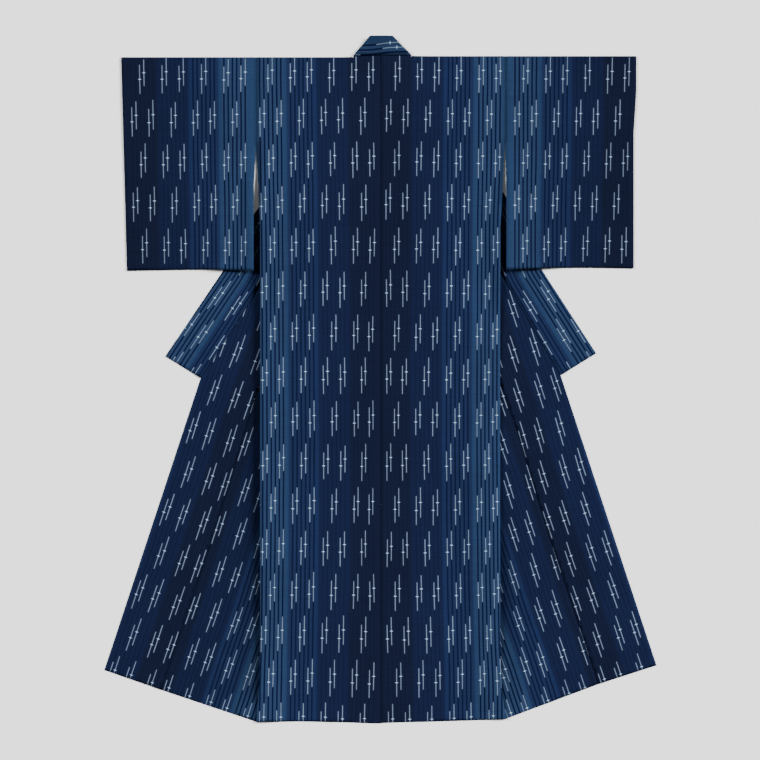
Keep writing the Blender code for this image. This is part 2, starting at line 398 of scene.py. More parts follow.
@dataclass(frozen=True)
class Crease:
    """A half-round bend that turns what lies beyond a line back under or over the rest."""

    line: Line
    before: Level
    after: Level

    def fold(self, points: Array, levels: Array) -> tuple[Array, Array]:
        """Fold points of the flat cloth.

        Args:
            points: Flat places, one row each.
            levels: The level of each point before the fold.

        Returns:
            The laid places and the new levels.
        """
        beyond = self.line.distance(points)
        turn = np.clip(beyond / CLOTH.bend_radius, 0, math.pi)
        bent = (beyond > 0) & (beyond < CLOTH.bend_length)
        away = np.where(bent, CLOTH.bend_radius * np.sin(turn), CLOTH.bend_length - beyond)
        moved = points + (away - beyond)[:, None] * self.line.normal
        new_levels = levels + (1 - np.cos(turn)) / 2 * (self.after - self.before)
        past = beyond > 0
        return np.where(past[:, None], moved, points), np.where(past, new_levels, levels)

    def unfold(self, points: Array) -> Array:
        """The flat places of one or more points that lie folded back."""
        away = np.asarray(self.line.distance(points))
        return points + (CLOTH.bend_length - 2 * away)[..., None] * self.line.normal

    def drawn(self, line: Line) -> Line:
        """A line laid on the folded part, as it runs on the flat cloth."""
        return Line(self.unfold(line.end), self.unfold(line.start))


def along_path(points: Array, path: Array, run_on: bool = True) -> tuple[Array, Array, Array]:
    """Place points along and beside a chain of segments.

    Args:
        points: One row for each point.
        path: The corners of the chain.
        run_on: Whether its end segments run on past its ends.

    Returns:
        The run along the chain, the distance to the left of it and the distance from it.
    """
    best = np.full(len(points), FAR)
    run, beside = np.zeros((2, len(points)))
    travelled = 0.0
    for index, line in enumerate(chain_lines(path)):
        length = np.hypot(*(line.end - line.start))
        low = -FAR if run_on and index == 0 else 0.0
        high = FAR if run_on and index == len(path) - 2 else length
        held = np.clip((points - line.start) @ line.along, low, high)
        gap = points - (line.start + held[:, None] * line.along)
        far = np.hypot(gap[:, 0], gap[:, 1])
        closer = far < best
        best = np.where(closer, far, best)
        run = np.where(closer, travelled + held, run)
        beside = np.where(closer, np.sign(gap @ line.normal) * far, beside)
        travelled += length
    return run, beside, best


def distance_to_path(points: Array, path: Array) -> Array:
    """Shortest distance from points to a chain of segments."""
    return along_path(points, path, run_on=False)[2]


def smooth(values: Array, low: float, high: float) -> Array:
    """0 below low, 1 above high, and an even ease between them."""
    share = np.clip((values - low) / (high - low), 0, 1)
    return share * share * (3 - 2 * share)


def hump(values: Array, rise: tuple[float, float], fall: tuple[float, float]) -> Array:
    """0 outside two heights and 1 between them, with an ease at each."""
    return smooth(values, *rise) * (1 - smooth(values, *fall))


def bell(values: Array, middle: float, width: float) -> Array:
    """1 at a middle, falling off evenly to both sides."""
    return np.exp(-((values - middle) / width) ** 2)


def table(values: Array, rows: Array, column: int = 1) -> Array:
    """A column of a table, read at values of its first column."""
    return np.interp(values, rows[:, 0], rows[:, column])


def painted_edge_shade(points: Array, path: Array, depth: float, width: float = 1.2 * MM) -> Array:
    """Painted shade for the cloth's colour beside a seam, fold or edge, at most a depth."""
    return depth * bell(distance_to_path(points, path), 0.0, width)


def drift(points: Array, places: Array, rows: Array) -> Array:
    """A value over a panel, eased between rows of (height, value at each place).

    Args:
        points: Flat places.
        places: Distances from the centre at which each row gives a value.
        rows: The rows, lowest first.

    Returns:
        The value at each point.
    """
    level = np.interp(points[:, 1], rows[:, 0], np.arange(len(rows)))
    low = np.minimum(level.astype(int), len(rows) - 2)
    stack = np.stack([np.interp(points[:, 0], places, row[1:]) for row in rows])
    index = np.arange(len(points))
    return stack[low, index] + (stack[low + 1, index] - stack[low, index]) * (level - low)


def rest(distance: Array, slope: float) -> Array:
    """1 on top of a lower layer, running down to 0 past its edge."""
    return 1 - smooth(distance, CLOTH.rest_margin, CLOTH.rest_margin + slope)


# Creases and soft ridges


@dataclass(frozen=True)
class Ridge:
    """One soft ridge of the cloth, in millimetres, highest and widest at its middle.

    Its shares are how much of it the lowest and the middle layer take up.
    """

    start: tuple[float, float]
    end: tuple[float, float]
    width: float
    height: float
    floor_share: float = 0.0
    under_share: float = 0.5

    def rise(self, points: Array, levels: Array) -> Array:
        """How far this ridge lifts points.

        Args:
            points: Laid places in metres, X to the right.
            levels: The level of each point.

        Returns:
            The lift of each point in metres.
        """
        line = Line(*metres((self.start, self.end)))
        length = np.hypot(*(line.end - line.start))
        reach = (points - line.start) @ line.along / length
        inside = np.clip(reach, 0, 1)
        bow = np.sin(math.pi * inside)
        spread = self.width * MM * (0.75 + 0.5 * bow)
        overrun = (reach - inside) * length / (self.width * MM)
        body = np.exp(-(line.distance(points) / spread) ** 2 - overrun ** 2)
        middle = max(self.under_share, self.floor_share)
        share = np.interp(levels, list(Level), (self.floor_share, middle, 1.0))
        return self.height * MM * body * (0.35 + 0.65 * bow) * share


RIDGES = tuple(Ridge(*row) for row in (
    # Raised side seams and underarm edges
    ((-302, 480), (-303, -780), 28, 8.0, 0.0, 0.9),
    ((302, 480), (302, 150), 24, 5.0, 0.0, 0.9),
    ((268, 140), (268, -800), 30, 4.5, 0.0, 0.9),
    ((300, -360), (300, -700), 24, 5.0, 0.0, 0.9),
    ((-300, 470), (-302, 200), 15, 4.5, 0.0, 0.9),
    ((299, 470), (300, 200), 15, 4.5, 0.0, 0.9),
    ((-331, 560), (-331, 190), 14, 8.7, 0.0, 1.0),
    ((330, 570), (330, 190), 14, 8.3, 0.0, 1.0),
    ((-450, 262), (-320, 262), 20, 5.5, 0.0, 1.0),
    ((440, 266), (320, 266), 20, 5.5, 0.0, 1.0),
    # Standing neck
    ((-34, 880), (34, 880), 28, 8.5, 0.0, 0.85),
    # Body back, beside the seams and over the hem
    ((-250, 500), (-170, 300), 26, 0.8),
    ((235, 520), (180, 330), 24, 0.8),
    ((-120, 760), (-60, 640), 24, 0.7),
    ((110, 770), (60, 620), 26, 0.7),
    ((-280, -300), (-250, -620), 20, 0.9),
    ((275, -200), (255, -520), 18, 0.9),
    ((-150, -500), (-130, -866), 22, 1.0, 0.6),
    ((95, -560), (120, -866), 24, 0.9, 0.6),
    ((215, -700), (225, -866), 16, 1.1, 0.6),
    ((-235, -690), (-240, -866), 17, 1.1, 0.6),
    ((-40, -640), (-46, -868), 18, 0.8, 0.6),
    ((20, 100), (-30, -220), 34, 0.5),
    # Sleeves
    ((-640, 700), (-480, 610), 26, 1.2),
    ((-640, 520), (-500, 470), 22, 1.0),
    ((-600, 330), (-470, 420), 24, 1.1),
    ((-420, 300), (-400, 470), 22, 1.0),
    ((-350, 640), (-420, 760), 22, 0.9),
    ((635, 690), (500, 600), 24, 1.1),
    ((632, 480), (520, 520), 22, 1.0),
    ((590, 330), (470, 400), 24, 1.1),
    ((400, 320), (420, 480), 22, 1.0),
    ((350, 660), (430, 770), 22, 0.9),
    # Fronts that lie folded out
    ((-420, -60), (-470, -420), 20, 0.9, 0.9),
    ((-560, -420), (-620, -740), 18, 1.0, 0.9),
    ((-380, -520), (-420, -820), 18, 1.0, 0.9),
    ((425, -80), (480, -400), 20, 0.9, 0.9),
    ((560, -400), (612, -730), 18, 1.0, 0.9),
    ((380, -500), (415, -810), 18, 1.0, 0.9),
))


def relief(points: Array, levels: Array) -> Array:
    """The lift of laid points by all the ridges."""
    return sum(ridge.rise(points, levels) for ridge in RIDGES)


# How one half lies


@dataclass(frozen=True)
class Lay:
    """How one half of the garment is folded and how its layers rest on each other."""

    side: Side
    shoulder_round: float = 6.0 * MM
    side_round: float = 3.0 * MM
    foot_round: float = 2.0 * MM
    closed_half: float = 0.15 * MM
    groove_width: float = 2.2 * MM
    groove_depth: float = 0.45 * MM
    groove_start: float = 4.0 * MM
    allowance_lift: float = 0.9 * MM
    rim_lift: float = 0.1 * MM
    tuck_depth: float = 0.38 * MM
    tuck_part: tuple[float, float] = (-2.4 * MM, 0.8 * MM)

    @property
    def collar_top(self) -> Array:
        """The corner of the standing collar, seen from the back."""
        return np.array((self.side.collar_top, COLLAR_TOP_Y))

    @property
    def front_fold(self) -> Crease:
        """The crease along which the front is folded outward, from the hem corner to the neck."""
        head = self.collar_top - np.array((FRONT_FOLD_INSET, 0))
        return Crease(Line(self.side.front_corner, head), Level.UNDER, Level.FOLDED_OUT)

    @property
    def shoulder_fold(self) -> Crease:
        """The crease over the shoulder, from the back down to the front."""
        height = self.side.shoulder - CLOTH.bend_radius - SOLID_WALL / 2
        return Crease(Line((0.0, height), (1.0, height)), Level.TOP, Level.UNDER)

    @property
    def shoulder_edge(self) -> float:
        """Height of the laid shoulder's edge."""
        return self.shoulder_fold.line.start[1] + CLOTH.bend_radius

    @property
    def collar_fold(self) -> Crease:
        """The slanted crease beside the neck, where the collar turns down to the front."""
        line = Line(self.collar_top, self.side.neck_point)
        return Crease(line.moved(-self.side.collar_inset), Level.TOP, Level.UNDER)

    def armhole(self, drop: float = 0.0) -> Array:
        """The laid armhole seam, from so far below the shoulder's edge down to the underarm."""
        x = self.side.armhole
        return np.array(((x, self.shoulder_edge - drop), (x, self.side.side_edge[0][1])))

    def fold_out(self, laid: Array, levels: Array) -> tuple[Array, Array]:
        """Fold the front outward.

        Args:
            laid: Places after the first fold.
            levels: Their levels.

        Returns:
            The laid places and the new levels.
        """
        under = levels <= Level.UNDER
        folded, low_levels = self.front_fold.fold(laid, levels)
        return np.where(under[:, None], folded, laid), np.where(under, low_levels, levels)

    def heights(self, points: Array) -> Array:
        """How far each of the three levels lies over the lowest one.

        Args:
            points: Laid places of this half.

        Returns:
            One row for each level.
        """
        past_fold = self.front_fold.line.distance(points)
        foot, turn = self.side.collar_edge[0], self.side.collar_edge[-1]
        edges = (Line(turn, foot), Line(self.collar_top, turn))
        past_front = np.max([past_fold, *(line.distance(points) for line in edges)], axis=0)
        under = rest(past_front, CLOTH.slope_length)
        top = rest(past_front, CLOTH.top_slope_length) + rest(past_fold, CLOTH.top_slope_length)
        return np.stack((np.zeros(len(points)), under, top)) * CLOTH.pitch

    def rise(self, points: Array, levels: Array) -> Array:
        """How far points of a level, whole or between two, lie over the lowest one.

        Args:
            points: Laid places of this half.
            levels: The level of each point.

        Returns:
            The height of each point in metres, ridges included.
        """
        heights = self.heights(points)
        low = np.clip(np.floor(levels), 0, 1).astype(int)
        index = np.arange(len(points))
        below, above = heights[low, index], heights[low + 1, index]
        return below + (above - below) * (levels - low) + relief(points * self.side.mirror, levels)

    def tuck(self, beyond: Array) -> Array:
        """How far a seam allowance drops toward the inside, by its distance beyond the seam."""
        return self.tuck_depth * smooth(beyond, *self.tuck_part)

    def groove(self, distance: Array) -> Array:
        """1 at a seam or rim, falling off within its groove."""
        return (1 - np.clip(distance / self.groove_width, 0, 1)) ** 2

    def over_allowance(self, inside: Array, depth: float = 1.0) -> Array:
        """How far a piece rides up over its neighbour's seam allowance, rounded down at its rim.

        Args:
            inside: How far points lie inside the piece's rim.
            depth: How far the rim comes down, as a share.

        Returns:
            The lift of each point in metres.
        """
        lift = self.allowance_lift * (1 - smooth(inside, ALLOWANCE + 2 * MM, ALLOWANCE + 16 * MM))
        return lift - (self.allowance_lift - self.rim_lift) * self.groove(inside) * depth

    def closed(self, points: Array, levels: Array, distance: Array, reach: float) -> Array:
        """Height of points beside an edge at which the two upper levels meet.

        Args:
            points: Laid places of this half.
            levels: The level of each point.
            distance: How far each point lies inside the edge.
            reach: How far inside the edge its rounding starts.

        Returns:
            The height of each point in metres.
        """
        top = self.rise(points, np.full(len(points), 2.0))
        under = self.rise(points, np.full(len(points), 1.0))
        middle = (top + under) / 2
        share = np.clip(distance / reach, 0, 1)
        half = self.closed_half + ((top - under) / 2 - self.closed_half) * np.sqrt(1 - (1 - share) ** 2)
        upper = np.where(levels >= 1.5, middle + half, middle - half)
        plain = self.rise(points, levels)
        eased = np.where(levels >= 1, upper, plain + (upper - under) * np.clip(levels, 0, 1))
        return np.where(distance < reach, eased, plain)

    def sewn(self, laid: Array, levels: Array, inside: tuple[Array, Array], reach: float) -> Array:
        """Height of a folded strip with its shoulder, its sewn edge and the armhole's groove.

        Args:
            laid: Laid places of this half.
            levels: The level of each point.
            inside: How far each point lies inside the shoulder's edge and inside the sewn edge.
            reach: How far inside the sewn edge its rounding starts.

        Returns:
            The height of each point in metres.
        """
        shoulder = self.closed(laid, levels, inside[0], self.shoulder_round)
        seam = self.closed(laid, levels, inside[1], reach)
        dip = self.groove_depth * self.groove(distance_to_path(laid, self.armhole(self.groove_start)))
        height = np.where(inside[0] < self.shoulder_round, shoulder, seam)
        return height - np.where(levels >= Level.TOP, dip, 0)


# Mesh building


def add_object(name: str, data: bpy.types.ID) -> bpy.types.Object:
    """Put an object in the scene.

    Args:
        name: Its name.
        data: What it shows.

    Returns:
        The object.
    """
    thing = bpy.data.objects.new(name, data)
    bpy.context.scene.collection.objects.link(thing)
    return thing


def add_mesh(name: str, bm: bmesh.types.BMesh) -> bpy.types.Object:
    """Turn a built mesh into an object of the scene.

    Args:
        name: Its name.
        bm: The built mesh, which is freed.

    Returns:
        The object.
    """
    mesh = bpy.data.meshes.new(name)
    bm.to_mesh(mesh)
    bm.free()
    return add_object(name, mesh)


def anywhere(point: Array) -> bool:
    """A test that every face passes."""
    return True


class Cut:
    """A flat cut of cloth: an outline with rounded rims, scored by lines and laid in place."""

    def __init__(self, outline: Array) -> None:
        """Cut the panel, less half a seam's gap all round.

        Args:
            outline: Its corners, counter-clockwise.
        """
        self.bm = bmesh.new()
        corners = [self.bm.verts.new((*point, 0)) for point in self._inset(outline, CLOTH.seam_gap / 2)]
        edges = [self.bm.edges.new((corners[index - 1], corner)) for index, corner in enumerate(corners)]
        bmesh.ops.contextual_create(self.bm, geom=edges)
        self.outline = np.array([corner.co.xy for corner in [*corners, corners[0]]])
        for ring in CLOTH.rings:
            inner = max(self.bm.faces, key=lambda face: face.calc_area())
            bmesh.ops.inset_region(self.bm, faces=[inner], thickness=ring, use_even_offset=True)

    @staticmethod
    def _inset(outline: Array, amount: float) -> Array:
        """Move an outline inward.

        Args:
            outline: Its corners, counter-clockwise.
            amount: How far it moves.

        Returns:
            The moved corners.
        """
        before = np.array([line.normal for line in chain_lines(np.vstack((outline[-1], outline)))])
        after = np.roll(before, -1, axis=0)
        mitre = before + after
        reach = np.maximum((mitre * after).sum(axis=1), 0.2)
        return outline + mitre * (amount / reach)[:, None]

    def score(self, line: Line, where: Test = anywhere) -> None:
        """Cut the faces that a test picks along a line, keeping both sides.

        Args:
            line: The line to cut along.
            where: A test of a face's middle.
        """
        if where is anywhere:
            geometry = self.bm.verts[:] + self.bm.edges[:] + self.bm.faces[:]
        else:
            faces = [face for face in self.bm.faces if where(np.array(face.calc_center_median().xy))]
            parts = {part for face in faces for part in (*face.edges, *face.verts)}
            geometry = faces + sorted(
                parts,
                key=lambda part: (isinstance(part, bmesh.types.BMEdge), part.index),
            )
        bmesh.ops.bisect_plane(
            self.bm,
            geom=geometry,
            dist=1e-6,
            plane_co=(*line.start, 0),
            plane_no=(*line.normal, 0),
        )
        self.bm.verts.index_update()
        self.bm.edges.index_update()

    def score_bend(self, line: Line, where: Test = anywhere) -> None:
        """Score the rows of a half-round bend near a line, where a test allows it.

        Args:
            line: The crease's line on the flat cloth.
            where: A test of a face's middle.
        """
        for step in range(CLOTH.bend_steps + 1):
            row = line.moved(CLOTH.bend_length * step / CLOTH.bend_steps)
            self.score(row, lambda p: where(p) and abs(line.distance(p)) < 2 * CLOTH.grid)

    def score_shoulder(self, line: Line) -> None:
        """Score the bend over the shoulder and the rows on both sides of it.

        Args:
            line: The shoulder's line on the flat cloth.
        """
        self.score_bend(line)
        for step in CLOTH.shoulder_rows:
            for row in (line.moved(-step), line.moved(step + CLOTH.bend_length)):
                self.score(row, lambda p: abs(line.distance(p)) < 2 * CLOTH.grid)

    def score_seam(self, line: Line, where: Test = anywhere) -> None:
        """Score the rows along which a panel dips at a seam, its inside on the line's left."""
        for step in CLOTH.seam_rows:
            self.score(line.moved(step), where)

    def score_chain(self, chain: Array, where: Test = anywhere) -> None:
        """Score the seam rows of a chain, each line's own over its own heights.

        Args:
            chain: The corners of the seam on the flat cloth.
            where: A test of a face's middle.
        """
        for line in chain_lines(chain):
            low, high = sorted((line.start[1], line.end[1]))
            self.score_seam(line, lambda p, a=low - OVERRUN, b=high + OVERRUN: where(p) and a < p[1] < b)

    def score_grid(self, middle: float) -> None:
        """Score an even grid whose rows lie alike on both sides of a shoulder bend.

        Args:
            middle: Height at which the bend starts.
        """
        low, high = self.outline.min(axis=0), self.outline.max(axis=0)
        rows = [*np.arange(middle - CLOTH.grid, low[1], -CLOTH.grid)]
        rows += [*np.arange(middle + CLOTH.bend_length + CLOTH.grid, high[1], CLOTH.grid)]
        for y in rows:
            self.score(Line((0.0, y), (1.0, y)))
        for x in np.arange(low[0] + CLOTH.grid, high[0], CLOTH.grid):
            self.score(Line((x, 0.0), (x, 1.0)))

    def flat(self) -> Array:
        """The flat places of its corners."""
        self.bm.verts.index_update()
        return np.array([vert.co.xy for vert in self.bm.verts])

    def area(self) -> float:
        """Its flat area in square metres."""
        return sum(face.calc_area() for face in self.bm.faces)

    def lay(self, places: Array, charts: list[Array], pick: Callable[[Array], int]) -> None:
        """Move every corner to its place and write the bolt map.

        Args:
            places: The place of each corner, X to the right.
            charts: One or more bolt charts, each with a row for each corner.
            pick: Which chart a face uses, by its flat middle.
        """
        layer = self.bm.loops.layers.uv.new("bolt")
        self.bm.verts.ensure_lookup_table()
        for face in self.bm.faces:
            chart = charts[pick(np.array(face.calc_center_median().xy))]
            for loop in face.loops:
                loop[layer].uv = chart[loop.vert.index]
        for vert, place in zip(self.bm.verts, places):
            vert.co = place

    def wall_shares(self, flat: Array, beyond: Array | None) -> Array:
        """How thick the cloth is at each corner, as a share of the full wall.

        Args:
            flat: Flat places of the corners.
            beyond: How far each corner lies past a seam, on an allowance, if there is one.

        Returns:
            One share for each corner.
        """
        inside = distance_to_path(flat, self.outline)
        rim = smooth(inside, *CLOTH.rim)
        plain = 1 - (1 - CLOTH.plain_share) * smooth(inside, *CLOTH.hem_turn)
        if beyond is not None:
            rim = np.minimum(rim, 1 - smooth(beyond, *CLOTH.seam_rim))
        return CLOTH.rim_share + (plain - CLOTH.rim_share) * rim

    def finish(self, name: str, wall: float, shares: Array, shade: Array) -> bpy.types.Object:
        """Turn the laid cut into a piece with a wall.

        Args:
            name: The piece's name.
            wall: Full thickness of the cloth.
            shares: Thickness of each corner as a share of it.
            shade: The darkening painted into each corner's colour: painted shade beside seams, folds and
                edges, and in places an even darkening.

        Returns:
            The new object.
        """
        many = [face for face in self.bm.faces if len(face.verts) > 4]
        bmesh.ops.triangulate(self.bm, faces=many)
        bmesh.ops.recalc_face_normals(self.bm, faces=self.bm.faces[:])
        for face in self.bm.faces:
            face.smooth = True
        piece = add_mesh(name, self.bm)
        # the seam attribute holds the darkening painted into the colour, mostly painted shade
        tone = piece.data.attributes.new("seam", "FLOAT", "POINT")
        tone.data.foreach_set("value", shade.astype(np.float32))
        group = piece.vertex_groups.new(name="wall")
        for index, share in enumerate(shares):
            group.add([index], float(share), "REPLACE")
        shell = piece.modifiers.new("wall", "SOLIDIFY")
        shell.thickness = wall
        shell.offset = 0
        shell.vertex_group = group.name
        return piece


# Finishes


def linear(colour: tuple[int, int, int]) -> tuple[float, ...]:
    """A display colour as linear values."""
    shares = [value / 255 for value in colour]
    return *(s / 12.92 if s <= 0.04045 else ((s + 0.055) / 1.055) ** 2.4 for s in shares), 1.0


@dataclass(frozen=True)
class Value:
    """A shader value that sums can be written with."""

    wiring: "Wiring"
    socket: Socket

    def __add__(self, other: object) -> "Value":
        """The sum."""
        return self.wiring.math("ADD", self, other)

    def __sub__(self, other: object) -> "Value":
        """The difference."""
        return self.wiring.math("SUBTRACT", self, other)

    def __rsub__(self, other: object) -> "Value":
        """The difference from a number."""
        return self.wiring.math("SUBTRACT", other, self)

    def __mul__(self, other: object) -> "Value":
        """The product."""
        return self.wiring.math("MULTIPLY", self, other)

    def __truediv__(self, other: object) -> "Value":
        """The quotient."""
        return self.wiring.math("DIVIDE", self, other)

    def parts(self, kind: str = "XYZ") -> list["Value"]:
        """Its three parts, of a vector or of a Color."""
        node = self.wiring.put("ShaderNodeSeparate" + kind, {0: self})
        return [Value(self.wiring, socket) for socket in node.outputs[:3]]


class Wiring:
    """Places nodes in one tree and joins them."""

    def __init__(self, tree: bpy.types.NodeTree) -> None:
        """Start wiring a tree."""
        self.tree = tree

    def put(self, kind: str, feeds: dict[object, object], **settings: object) -> bpy.types.Node:
        """Place a node.

        Args:
            kind: Its type name.
            feeds: What goes into each of its inputs: a value, a socket or a plain number.
            settings: Properties to set on it.

        Returns:
            The node.
        """
        column, row = len(self.tree.nodes) % 12, len(self.tree.nodes) // 12
        node = self.tree.nodes.new(kind)
        node.location = (180 * column, -220 * row)
        for name, setting in settings.items():
            setattr(node, name, setting)
        for name, value in feeds.items():
            if isinstance(value, Value):
                self.tree.links.new(value.socket, node.inputs[name])
            else:
                node.inputs[name].default_value = value
        return node

    def get(self, kind: str, feeds: dict[object, object], output: object = 0, **settings: object) -> Value:
        """Place a node and take one of its outputs."""
        return Value(self, self.put(kind, feeds, **settings).outputs[output])

    def math(self, operation: str, *values: object) -> Value:
        """One sum of values and numbers."""
        return self.get("ShaderNodeMath", dict(enumerate(values)), operation=operation)

    def mask(self, value: Value, edge: float, feather: float) -> Value:
        """1 where a value is under an edge and 0 above it, with a soft step."""
        feeds = {"Value": value, "From Min": edge - feather, "From Max": edge + feather}
        feeds |= {"To Min": 1.0, "To Max": 0.0}
        return self.get("ShaderNodeMapRange", feeds, "Result", interpolation_type="SMOOTHSTEP")

    def mix(self, factor: object, first: object, second: object, blend: str = "MIX") -> Value:
        """The second colour mixed into the first by a factor."""
        feeds = {0: factor, 6: first, 7: second}
        return self.get("ShaderNodeMix", feeds, 2, data_type="RGBA", blend_type=blend)

    def vector(self, *parts: object) -> Value:
        """Three values as one vector."""
        return self.get("ShaderNodeCombineXYZ", dict(enumerate(parts)))

    def noise(self, vector: Value, scale: float, detail: float) -> Value:
        """Soft noise from 0 to 1 about a half."""
        feeds = {"Vector": vector, "Scale": scale, "Detail": detail}
        return self.get("ShaderNodeTexNoise", feeds, "Fac", noise_dimensions="3D")

    def ramp(self, value: Value, stops: tuple, low: float, high: float) -> Value:
        """A colour by a value.

        Args:
            value: The value read.
            stops: Rows of (value in millimetres, colour).
            low: Value at the ramp's start.
            high: Value at its end.

        Returns:
            The colour.
        """
        node = self.put("ShaderNodeValToRGB", {"Fac": (value - low) / (high - low)})
        elements = node.color_ramp.elements
        while len(elements) < len(stops):
            elements.new(0.5)
        for element, (stop, colour) in zip(elements, stops):
            element.position = (stop * MM - low) / (high - low)
            element.color = linear(colour)
        return Value(self, node.outputs["Color"])


def new_group(name: str, inputs: dict[str, str], outputs: dict[str, str]) -> tuple[Wiring, dict[str, Value]]:
    """Start a shader group.

    Args:
        name: Its name.
        inputs: Kind of each input: Vector, Color or Float.
        outputs: Kind of each output.

    Returns:
        Its wiring and its inputs' values.
    """
    tree = bpy.data.node_groups.new(name, "ShaderNodeTree")
    for way, sockets in (("INPUT", inputs), ("OUTPUT", outputs)):
        for label, kind in sockets.items():
            tree.interface.new_socket(name=label, in_out=way, socket_type="NodeSocket" + kind)
    w = Wiring(tree)
    start = w.put("NodeGroupInput", {})
    return w, {label: Value(w, start.outputs[label]) for label in inputs}


def new_material(name: str) -> tuple[bpy.types.Material, Wiring]:
    """Start a material with an empty tree.

    Args:
        name: Its name.

    Returns:
        The material and its wiring.
    """
    material = bpy.data.materials.new(name)
    material.use_nodes = True
    material.node_tree.nodes.clear()
    return material, Wiring(material.node_tree)


@dataclass(frozen=True)
class BoltChart:
    """The chart of the cloth: bands of warp stripes with paired resist dashes, in metres."""

    stripe_pitch: float = 10.76 * MM
    stripe_half: float = 2.0 * MM
    last_stripe: float = 5.0
    band_period: float = 77.8 * MM
    band_margin: float = 12.0 * MM
    last_band: float = 3.0
    dash_half_length: float = 35.5 * MM
    dash_half_width: float = 1.15 * MM
    dash_step: float = 9.3 * MM
    dash_slip: float = 4.0 * MM
    dash_stretch: float = 5.0 * MM
    dash_fray: float = 3.0 * MM
    dash_dimming: float = 0.14
    tick_half_length: float = 4.2 * MM
    tick_half_width: float = 1.05 * MM
    tick_taper: float = 0.6 * MM
    cross_half: float = 1.7 * MM
    wander: float = 1.6 * MM
    sharp: float = 0.5 * MM
    soft: float = 0.6 * MM
    softer: float = 1.2 * MM
    softest: float = 1.6 * MM
    low: float = -40.0 * MM
    high: float = 330.0 * MM
    cloth: tuple = (
        (-30, (27, 44, 70)), (-6, (27, 44, 70)), (-4, (30, 44, 69)), (58, (30, 44, 69)),
        (60, (27, 43, 69)), (66, (25, 42, 69)), (69, (21, 31, 57)), (133, (21, 31, 57)),
        (134, (20, 31, 59)), (142, (19, 30, 58)), (145, (15, 22, 46)), (211, (15, 22, 46)),
        (213, (14, 21, 45)), (221, (14, 21, 45)), (224, (14, 19, 38)), (300, (13, 18, 37)),
    )
    stripe: tuple = (
        (-30, (5, 13, 38)), (66, (5, 13, 38)), (70, (8, 15, 39)), (144, (8, 15, 39)),
        (148, (12, 19, 41)), (221, (12, 19, 41)), (225, (12, 17, 36)), (300, (11, 16, 35)),
    )
    dash: tuple = (
        (-30, (87, 105, 129)), (70, (90, 106, 128)), (148, (92, 106, 127)), (300, (92, 103, 123)),
    )
    tick: tuple = (113, 136, 162)
    cross: tuple = (161, 188, 216)

    def group(self) -> bpy.types.ShaderNodeTree:
        """Make the shader group that draws the chart from the bolt map.

        Returns:
            The group.
        """
        w, given = new_group("kasuri chart", {"Bolt": "Vector", "Piece": "Float"}, {"Color": "Color"})
        across, along = given["Bolt"].parts()[:2]
        sway = w.noise(w.vector(across * 2.0, along, given["Piece"]), 9.0, 1.0)
        across = across + (sway - 0.5) * self.wander

        # Bands and their stripes
        band = w.math("FLOOR", (across + self.band_margin) / self.band_period)
        in_band = across - band * self.band_period
        nearest = w.math("ROUND", in_band / self.stripe_pitch)
        stripe = w.math("MINIMUM", w.math("MAXIMUM", nearest, 0.0), self.last_stripe)
        off_stripe = w.math("ABSOLUTE", in_band - stripe * self.stripe_pitch)
        known = w.math("GREATER_THAN", band, -0.5) * w.math("LESS_THAN", band, self.last_band + 0.5)
        striped = w.mask(off_stripe, self.stripe_half, self.soft) * known

        # Which stripes carry dashes: the middle pair in one row, the outer pairs in the next
        row = w.math("ROUND", along / ROW_PITCH)
        single = w.math("LESS_THAN", w.math("FLOORED_MODULO", band + row, 2.0), 0.5)
        pair = w.math("FLOOR", (stripe + 0.1) / 2.0)
        middle = w.math("COMPARE", pair, 1.0, 0.1)
        drawn = (1.0 - w.math("ABSOLUTE", middle - single)) * known

        # Each dash's own place and length
        cell = w.vector(band * 7.0 + stripe, row, given["Piece"])
        chance = w.get("ShaderNodeTexWhiteNoise", {"Vector": cell}, "Color", noise_dimensions="3D")
        slipped, stretched, dimmed = chance.parts("Color")
        step = ((stripe - pair * 2.0) * 2.0 - 1.0) * self.dash_step
        off_row = along - row * ROW_PITCH - step - (slipped - 0.5) * self.dash_slip
        place = w.math("ABSOLUTE", off_row)
        ragged = w.noise(w.vector(across * 6.0, along, 0.0), 240.0, 2.0)
        reach = place - (stretched - 0.5) * self.dash_stretch + (ragged - 0.5) * self.dash_fray
        dash = w.mask(reach, self.dash_half_length, self.softest)
        dash = dash * w.mask(off_stripe, self.dash_half_width, self.sharp) * drawn
        taper = w.math("POWER", off_stripe / self.tick_half_length, 2.0) * self.tick_taper
        tick = w.mask(place + taper, self.tick_half_width, self.soft)
        tick = tick * w.mask(off_stripe, self.tick_half_length, self.softer) * drawn

        # Colours
        ground, dark, bright = (
            w.ramp(across, stops, self.low, self.high) for stops in (self.cloth, self.stripe, self.dash)
        )
        colour = w.mix(striped, ground, dark)
        colour = w.mix(dash * (dimmed * self.dash_dimming + (1 - self.dash_dimming)), colour, bright)
        heart = w.mask(off_stripe, self.cross_half, self.softer)
        colour = w.mix(tick, colour, w.mix(heart, linear(self.tick), linear(self.cross)))
        w.put("NodeGroupOutput", {"Color": colour})
        return w.tree


